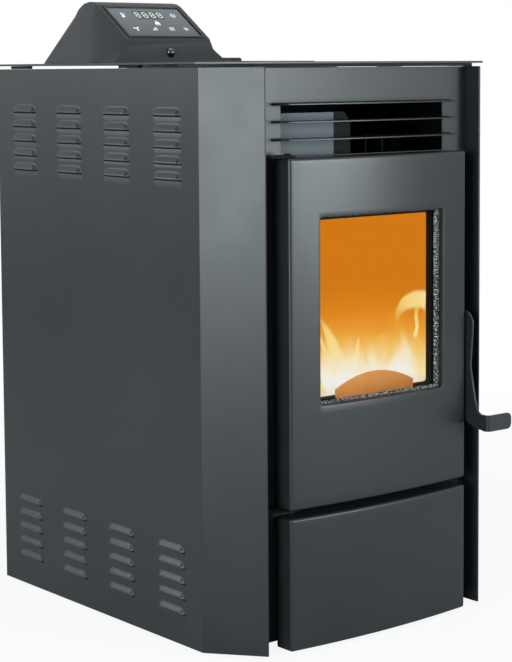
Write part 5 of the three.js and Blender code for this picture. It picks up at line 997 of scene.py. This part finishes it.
iron = Finish("cast_iron", Metallic=0.4)
iron_cloud = iron.noise(16.0, 6.0).between(0.35, 0.7)
iron.set("Base Color", iron_cloud.mix(shade(44, 42, 40), shade(78, 66, 56)))
iron.set("Roughness", iron.noise(80.0, 3.0) * 0.2 + 0.65)
iron.bump(iron.noise(380.0, 4.0), 0.0005, 0.6)
coat("firebox_back_plate burn_pot burn_pot_holder exhaust_housing", iron)
coat("heat_exchanger", heat_black)

# ---------------------------------------------------------------- rubber
# The feet, the top plate's spacers and the lid's seal are moulded black rubber with a faint bloom.
# The feet are screwed into the base pan, and the rest is glued in place.

rubber = Finish("black_rubber", Metallic=0.0)
rubber.set("Base Color", rubber.noise(40.0).mix(shade(17, 17, 18), shade(25, 25, 26)))
rubber.set("Roughness", rubber.noise(200.0, 2.0) * 0.15 + 0.72)
rubber.bump(rubber.noise(1200.0, 2.0), 0.0001, 0.4)
coat(
    "levelling_foot_front_left levelling_foot_front_right levelling_foot_rear_left levelling_foot_rear_right "
    "top_spacer_left_rear top_spacer_left_middle top_spacer_right_rear top_spacer_right_middle "
    "lid_seal",
    rubber,
)

# ---------------------------------------------------------------- strip below the top plate
# A square rubber strip closes the gap between the body and the top plate round the front. Behind it
# the plate stands on its rubber blocks, and light comes through between them.

STRIP_END_Y = -185.0 * MM
STRIP_W = 6.0 * MM
strip_low, strip_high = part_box("front_top_seal")


def strip_round_the_front():
    """A rectangle carried along the body's front outline in plan, set in from the side panels' faces."""
    inset = 5.0 * MM
    bend = (side_low[0] + inset, SIDE_BEND_Y + inset * 0.4)
    front = (-SIDE_FOLD_R + side_high[0] - 1.5 * MM, strip_low[1] + STRIP_W / 2)
    left = np.array([(bend[0], STRIP_END_Y), bend, front])
    line = rounded_line(np.concatenate([left, left[::-1] * (-1, 1)]), [4 * MM] * 4)
    across = beside(line)
    points = np.zeros((len(line), 6, 3))
    sides = [(0, 0), (1, 0), (1, 1), (-1, 1), (-1, 0), (0, 0)]
    for k, (side, up) in enumerate(sides):
        points[:, k, :2] = line + across * side * STRIP_W / 2
        points[:, k, 2] = strip_high[2] if up else strip_low[2]
    return points


strip = tidy_mesh(sheet_of("front_strip", strip_round_the_front()))
ends = bmesh.new()
ends.from_mesh(strip.data)
bmesh.ops.holes_fill(ends, edges=[e for e in ends.edges if e.is_boundary])
bmesh.ops.recalc_face_normals(ends, faces=ends.faces)
ends.to_mesh(strip.data)
ends.free()
settle(creased(strip, 30), rubber, "cabinet", "black_rubber", "front_top_seal")

# ---------------------------------------------------------------- control housing and display
# A hollow moulding of grained grey plastic with a sloping front. A glossy black rim holds the display's
# dark glass in the slope, and the remote's receiver looks out below it through a round black lens.

moulded = Finish("housing_plastic", Metallic=0.0, Specular_IOR_Level=0.25)
moulded.set("Base Color", moulded.noise(9.0).mix(shade(34, 36, 38), shade(39, 41, 43)))
moulded.set("Roughness", moulded.noise(120.0) * 0.12 + 0.40)
moulded.bump(moulded.noise(1500.0, 1.0), 0.0001, 0.5)
edged("control_shell", "control_housing", 1.0 * MM, moulded, "cabinet", "housing_plastic", 3)

rim_gloss = Finish("dark_plastic", Metallic=0.0, Specular_IOR_Level=0.3)
rim_gloss.set("Base Color", rim_gloss.noise(30.0).mix(shade(9, 10, 11), shade(15, 16, 17)))
rim_gloss.set("Roughness", rim_gloss.noise(90.0) * 0.1 + 0.22)
rim_gloss.bump(rim_gloss.noise(700.0, 1.0), 0.00006, 0.3)
edged("display_rim", "display_bezel", 0.6 * MM, rim_gloss, "cabinet", "dark_plastic", 3)
coat("power_inlet", rim_gloss)

pane = Finish("display_glass", Metallic=0.0, Roughness=0.14)
# painted reflection: the pane's colour runs from darker at its foot to paler at its top
PANE_SHEEN_Z = (0.895, 0.945)  # from its darker foot up to its paler top
pane_painted_sheen = (pane.spot()[2] + pane.noise(8.0) * 0.01).between(*PANE_SHEEN_Z)
pane.set("Base Color", pane_painted_sheen.mix(shade(52, 57, 60), shade(98, 106, 110)))
pane.bump(pane.noise(60.0, 1.0), 0.00005, 0.2)
coat("display_glass", pane)


def face_of(node):
    """The middle and the upward normal of the node's widest flat face."""
    mesh = parts[node].data
    normals = np.zeros(len(mesh.polygons) * 3)
    centres = np.zeros(len(mesh.polygons) * 3)
    areas = np.zeros(len(mesh.polygons))
    mesh.polygons.foreach_get("normal", normals)
    mesh.polygons.foreach_get("center", centres)
    mesh.polygons.foreach_get("area", areas)
    normals, centres = normals.reshape(-1, 3), centres.reshape(-1, 3)
    upward = areas * (normals[:, 2] > 0.3)
    normal = normals[np.argmax(upward)]
    same = (normals @ normal) > 0.999
    return (centres[same] * areas[same, None]).sum(0) / areas[same].sum(), normal


pane_low, pane_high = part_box("display_glass")
pane_middle, pane_up = face_of("display_glass")
PANE_ACROSS = np.array([1.0, 0.0, 0.0])
PANE_ALONG = np.cross(pane_up, PANE_ACROSS)
PANE_W = pane_high[0] - pane_low[0]
PANE_L = 79.1 * MM
SIGN_THICK = 0.3 * MM
SIGN_LIFT = 0.05 * MM  # off the pane, to the middle of its thickness
DIGIT_LIFT = 0.2 * MM  # off the digits' own window
DIGITS_U = (0.359, 0.461, 0.564, 0.664)
DIGITS_V = 0.247


def signs(name, outlines, finish, lift=0.0):
    """Flat shapes on the pane, each a closed outline in shares of its width and length, (0, 0) at its
    upper left, thickened to both sides."""
    verts, faces = [], []
    for outline in outlines:
        outline = np.asarray(outline, dtype=float)
        across = ((outline[:, :1] - 0.5) * PANE_W) * PANE_ACROSS
        spot = pane_middle + across + ((0.5 - outline[:, 1:]) * PANE_L) * PANE_ALONG
        faces.append(tuple(range(len(verts), len(verts) + len(outline))))
        verts += [tuple(point) for point in spot + pane_up * (lift + SIGN_LIFT)]
    mesh = bpy.data.meshes.new(name)
    mesh.from_pydata(verts, [], faces)
    piece = bpy.data.objects.new(name, mesh)
    bpy.context.collection.objects.link(piece)
    thickened(piece, "print_thickness", SIGN_THICK, 0.0)
    return settle(piece, finish, "cabinet", "display_glass")


def stroke(line, wide):
    """A band of even width along a line of points in millimetres."""
    line = np.asarray(line, dtype=float)
    along = np.gradient(line, axis=0)
    across = np.stack([-along[:, 1], along[:, 0]], 1)
    across *= wide / 2 / np.linalg.norm(across, axis=1)[:, None]
    return np.concatenate([line + across, (line - across)[::-1]])


def at(shape, u, v):
    """A shape in millimetres, x right and y down, put on the pane at a share of its width and length."""
    return np.asarray(shape) * MM / np.array([PANE_W, PANE_L]) + np.array([u, v])


def arc_line(radius, start, end, steps):
    """Points round a circle in millimetres, from one angle to another, counted from straight up."""
    turn = np.radians(np.linspace(start, end, steps))
    return np.stack([radius * np.sin(turn), -radius * np.cos(turn)], 1)


def digit_bar(start, end):
    """A long hexagon in millimetres with pointed ends, lying along x from a start to an end."""
    half, cut, point = 1.25 / 2, 1.1, 0.4
    upper = [(start + point, 0), (start + cut, -half), (end - cut, -half)]
    return np.array(upper + [(end - point, 0), (end - cut, half), (start + cut, half)])


def seven_segments():
    """The seven bars of a lit digit, three lying and four standing."""
    half, tall = 3.4, 6.6
    lying = digit_bar(-half, half)
    standing = digit_bar(0, tall)[:, ::-1] * (-1, 1)
    bars = [lying + (0, y) for y in (-tall, 0, tall)]
    bars += [standing + (x, y) for x in (-half, half) for y in (-tall, 0)]
    return bars


display_print = Finish("display_print", Roughness=0.5, Emission_Strength=0.75)
display_print.set("Base Color", display_print.noise(400.0).mix(shade(196, 198, 196), shade(226, 228, 226)))
display_print.set("Emission Color", display_print.noise(300.0).mix(shade(176, 180, 180), shade(214, 216, 214)))
digit_field = Finish("digit_field", Roughness=0.3)
digit_field.set("Base Color", digit_field.noise(80.0).mix(shade(46, 50, 53), shade(54, 58, 61)))
signs("digit_window", [[(0.315, 0.11), (0.706, 0.11), (0.706, 0.385), (0.315, 0.385)]], digit_field)
digits = [at(bar, u, DIGITS_V) for u in DIGITS_U for bar in seven_segments()]
signs("lit_digits", digits, display_print, DIGIT_LIFT)

power_sign = [stroke(arc_line(4.0, 35, 325, 26), 1.3), stroke([(0, -5.4), (0, -0.6)], 1.3)]
heat_sign = [stroke([(0, -6.0), (0, 2.0)], 2.4), arc_line(2.9, 0, 345, 18) + (0, 3.8)]
heat_sign += [stroke([(3.0, y), (5.2, y)], 0.9) for y in (-4.5, -2.0, 0.5)]
flame_right = [(0, -7.5), (2.2, -4.2), (3.6, -3.0), (4.6, -0.2), (4.2, 3.4), (2.4, 5.8), (0.6, 6.4), (1.9, 3.6)]
flame_left = [(0.4, 0.6), (-1.4, 3.2), (-0.9, 6.2), (-3.2, 5.0), (-4.6, 2.0), (-3.8, -1.4), (-1.6, -3.6)]
fan_blade = np.array([(0.6, -0.4), (1.6, -3.4), (3.6, -4.4), (5.0, -3.2), (4.2, -1.2)])
fan_sign = [
    np.stack([fan_blade[:, 0] * c - fan_blade[:, 1] * s, fan_blade[:, 0] * s + fan_blade[:, 1] * c], 1)
    for c, s in ((math.cos(a), math.sin(a)) for a in np.radians((0, 120, 240)))
]
fan_sign.append(arc_line(1.1, 0, 345, 12))
bar_tops = ((-3.2, 1.6), (0, -1.2), (3.2, -4.2))
bars_sign = [[(x - 0.9, 4.2), (x - 0.9, top), (x + 0.9, top), (x + 0.9, 4.2)] for x, top in bar_tops]
waves_sign = [stroke([(x, 4.4), (x - 0.9, 1.6), (x + 0.9, -1.4), (x, -4.4)], 1.2) for x in (-3.4, 0, 3.4)]
sun_sign = [arc_line(2.3, 0, 345, 16)]
for a in np.radians(np.arange(0, 360, 60)):
    sun_sign.append(stroke(np.array([(math.sin(a), -math.cos(a))]) * np.array([[3.4], [5.0]]), 1.0))
placed_signs = (
    (power_sign, 0.853, 0.25),
    (heat_sign, 0.150, 0.25),
    ([flame_right + flame_left], 0.537, 0.535),
    (fan_sign, 0.185, 0.735),
    (bars_sign, 0.431, 0.735),
    (waves_sign, 0.672, 0.735),
    (sun_sign, 0.872, 0.735),
)
signs("lit_signs", [at(shape, u, v) for sign, u, v in placed_signs for shape in sign], display_print)


def turned(name, profile, steps, centre, axis):
    """A profile of (radius, distance along the axis) carried round a straight axis through a centre. A
    profile whose ends lie on the axis or on each other is closed."""
    turn = np.linspace(0, 2 * np.pi, steps, endpoint=False)
    profile = np.asarray(profile, dtype=float)
    rings = np.zeros((len(profile), steps, 3))
    rings[:, :, 0] = profile[:, :1] * np.cos(turn)
    rings[:, :, 1] = profile[:, :1] * np.sin(turn)
    rings[:, :, 2] = profile[:, 1:]
    aim = np.array(Vector((0, 0, 1)).rotation_difference(Vector(axis)).to_matrix())
    closed = np.allclose(profile[0], profile[-1])
    rings = rings[:-1] if closed else rings
    return tidy_mesh(sheet_of(name, rings @ aim.T + np.array(centre), closed_rows=closed, closed_columns=True))


def seat(low, high, y):
    """The middle of a round piece's box in x and z, at a y."""
    return ((low[0] + high[0]) / 2, y, (low[2] + high[2]) / 2)


dome_low, dome_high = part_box("receiver_dome")
LENS_R = (dome_high[0] - dome_low[0]) / 2
LENS_STRAIGHT = 10.0 * MM
LENS_CROWN = dome_high[1] - dome_low[1] - LENS_STRAIGHT
lens = [(0, 0), (LENS_R, 0)]
lens += [(LENS_R * math.cos(a), LENS_STRAIGHT + LENS_CROWN * math.sin(a)) for a in np.linspace(0, np.pi / 2, 14)]
lens_gloss = Finish("receiver_lens", Metallic=0.0, Roughness=0.08, Coat_Weight=0.6)
lens_gloss.set("Base Color", lens_gloss.noise(60.0).mix(shade(5, 6, 8), shade(12, 12, 14)))
receiver = creased(turned("receiver_lens", lens, 40, seat(dome_low, dome_high, dome_high[1]), (0, -1, 0)), 50)
settle(receiver, lens_gloss, "cabinet", "dark_plastic", "receiver_dome")

# ---------------------------------------------------------------- outlet baffle
# Smooth grey sheet folded behind the warm air outlet's left half, with a second leaf that
# turns back into the cabinet. That leaf lies in shade, which is painted on it as near black.

BAFFLE_FOLD_X = (-0.0475, -0.0455)  # where the grey leaf ends and the dark one begins
baffle = Finish("baffle_sheet", Metallic=0.0, Specular_IOR_Level=0.12)
# painted shade: past the fold the second leaf is coloured near black
baffle_shaded_leaf = (baffle.spot()[0] + baffle.noise(12.0) * 0.001).between(*BAFFLE_FOLD_X)
baffle.set("Base Color", baffle_shaded_leaf.mix(shade(116, 124, 128), shade(22, 22, 22)))
baffle.set("Roughness", baffle.noise(50.0, 3.0) * 0.15 + 0.5)
baffle.bump(baffle.noise(500.0, 2.0), 0.00006, 0.4)
edged("baffle_leaves", "outlet_baffle", 0.4 * MM, baffle, "cabinet", "galvanised_sheet")

# ---------------------------------------------------------------- door lever
# A lever cut from 3.5 mm plate and painted as the cabinet is, with a finger tab bent outwards at its
# foot. It turns on a blackened shoulder bolt through the door's side.

edged("lever_plate", "latch_lever", 0.7 * MM, charcoal, "latch_lever", "satin_charcoal", 3)
coat("latch_pivot", zinc_black)

# ---------------------------------------------------------------- flue and air intake
# The flue outlet is a steel tube with a rolled bead near its mouth, which smoke has browned. The
# combustion air's intake beside it is a thin galvanised tube with a turned-out lip.

flue_low, flue_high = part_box("flue_pipe")
FLUE_R = (flue_high[0] - flue_low[0]) / 2
FLUE_L = flue_high[1] - flue_low[1]
PIPE_WALL = 2.0 * MM
BEAD_IN = 22.0 * MM  # from the flue's mouth
COLLAR_R = 26.3 * MM
COLLAR_L = 4.0 * MM


def bead(radius, middle, high, wide, steps=9):
    """A round swelling on a tube, (radius + high cos(t), middle + wide sin(t)) over a half turn."""
    t = np.linspace(-np.pi / 2, np.pi / 2, steps)
    return [(radius + high * math.cos(a), middle + wide * math.sin(a)) for a in t]


FLUE_SOOT_Y = (0.352, 0.3585)
flue = Finish("flue_steel", Metallic=1.0)
flue_soot = flue.spot()[1].between(*FLUE_SOOT_Y) * 0.7 + flue.noise(30.0, 4.0) * 0.25
flue.set("Base Color", flue_soot.held().mix(shade(158, 160, 162), shade(96, 92, 88)))
flue.set("Roughness", flue.noise(60.0, 3.0, 0.6, (14.0, 1.0, 14.0)) * 0.22 + 0.26)
flue.bump(flue.noise(300.0, 2.0, 0.5, (1.0, 10.0, 1.0)), 0.00008, 0.4)
flue_line = [(FLUE_R - PIPE_WALL, 0.0), (FLUE_R, 0.0)]
flue_line += bead(FLUE_R, FLUE_L - BEAD_IN, 2.0 * MM, 3.0 * MM)
flue_line += [(FLUE_R, FLUE_L - 0.6 * MM), (FLUE_R - 0.5 * MM, FLUE_L), (FLUE_R - PIPE_WALL + 0.4 * MM, FLUE_L)]
flue_line += [(FLUE_R - PIPE_WALL, FLUE_L - 0.5 * MM), (FLUE_R - PIPE_WALL, 0.0)]
flue_middle = seat(flue_low, flue_high, flue_low[1])
flue_tube = creased(turned("flue_tube", flue_line, 72, flue_middle, (0, 1, 0)), 40)
collar_line = [(COLLAR_R, 0), (FLUE_R - PIPE_WALL, 0), (FLUE_R - PIPE_WALL, COLLAR_L)]
collar_line += [(COLLAR_R, COLLAR_L), (COLLAR_R, 0)]
flue_collar = creased(turned("flue_collar", collar_line, 48, flue_middle, (0, 1, 0)), 40)
settle(merged("flue_tube_and_collar", [flue_tube, flue_collar]), flue, "cabinet", "bare_steel", "flue_pipe")

air_low, air_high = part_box("air_intake_pipe")
AIR_R = (air_high[0] - air_low[0]) / 2
AIR_L = air_high[1] - air_low[1]
air_line = [(AIR_R - PIPE_WALL, 0.0), (AIR_R, 0.0), (AIR_R, AIR_L - 3 * MM), (AIR_R + 0.5 * MM, AIR_L - 1.5 * MM)]
air_line += [(AIR_R + 1.4 * MM, AIR_L - 0.6 * MM), (AIR_R + 1.2 * MM, AIR_L), (AIR_R - 0.4 * MM, AIR_L - 1.2 * MM)]
air_line += [(AIR_R - PIPE_WALL, AIR_L - 3 * MM), (AIR_R - PIPE_WALL, 0.0)]
air_tube = creased(turned("air_tube", air_line, 56, seat(air_low, air_high, air_low[1]), (0, 1, 0)), 40)
settle(air_tube, zinc, "cabinet", "galvanised_sheet", "air_intake_pipe")

# ---------------------------------------------------------------- burning pellets
# Pressed wood pellets, 6 mm thick, lie heaped in the burn pot. They glow through a skin of grey ash.

PELLET_R = 3.0 * MM
PELLETS = 130
HEAP_HALF = (44.0 * MM, 34.0 * MM)
HEAP_FOOT = 9.0 * MM  # above the pot's underside
HEAP_TOP = 34.0 * MM
ember = Finish("burning_pellets", Roughness=0.9, Emission_Strength=1.0)
ember_glow = ember.noise(90.0, 4.0).between(0.38, 0.62)
ember.set("Base Color", ember.noise(200.0).mix(shade(70, 60, 52), shade(150, 140, 130)))
ember_colours = ((0.0, shade(60, 18, 8)), (0.5, shade(232, 104, 26)), (1.0, shade(255, 214, 130)))
ember.set("Emission Color", ember_glow.ramp(*ember_colours))
ember.bump(ember.noise(600.0, 3.0), 0.0004, 0.6)


def heaped_pellets(count, middle, low, high):
    """Short rods with rounded ends, thrown at random over an oval heap that is highest in its middle, where
    the height falls with the square of the share of the way out to the rim."""
    rng = np.random.default_rng(7)
    turn = np.linspace(0, 2 * np.pi, 9)[:-1]
    profile = np.array([(0.0, -1.0), (0.8, -0.97), (1.0, -0.85), (1.0, 0.85), (0.8, 0.97), (0.0, 1.0)])
    angle = rng.uniform(0, 2 * np.pi, count)
    reach = np.sqrt(rng.uniform(0, 1, count))
    x = middle[0] + HEAP_HALF[0] * reach * np.cos(angle)
    y = middle[1] + HEAP_HALF[1] * reach * np.sin(angle)
    z = low + (high - low) * (1 - reach**2) * rng.uniform(0.2, 1.0, count)
    half_long = rng.uniform(5, 10, count) * MM
    heading = rng.uniform(0, 2 * np.pi, count)
    tilt = rng.normal(0, 0.3, count)
    along = np.stack([np.cos(heading) * np.cos(tilt), np.sin(heading) * np.cos(tilt), np.sin(tilt)], 1)
    side = np.stack([-np.sin(heading), np.cos(heading), np.zeros(count)], 1)
    up = np.cross(along, side)
    round_it = np.cos(turn)[:, None] * side[:, None, None] + np.sin(turn)[:, None] * up[:, None, None]
    ring = profile[:, None, :1] * round_it
    points = ring * PELLET_R + profile[None, :, None, 1:] * (along * half_long[:, None])[:, None, None]
    return points + np.stack([x, y, z], 1)[:, None, None]


pot_low, pot_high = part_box("burn_pot")
pot_middle = ((pot_low[0] + pot_high[0]) / 2, (pot_low[1] + pot_high[1]) / 2)
rods = heaped_pellets(PELLETS, pot_middle, pot_low[2] + HEAP_FOOT, pot_low[2] + HEAP_TOP)
heap = merged("burning_pellets", [tidy_mesh(sheet_of("pellet", rod, closed_columns=True)) for rod in rods])
settle(creased(heap, 40), ember, "burn_pot", "cast_iron")
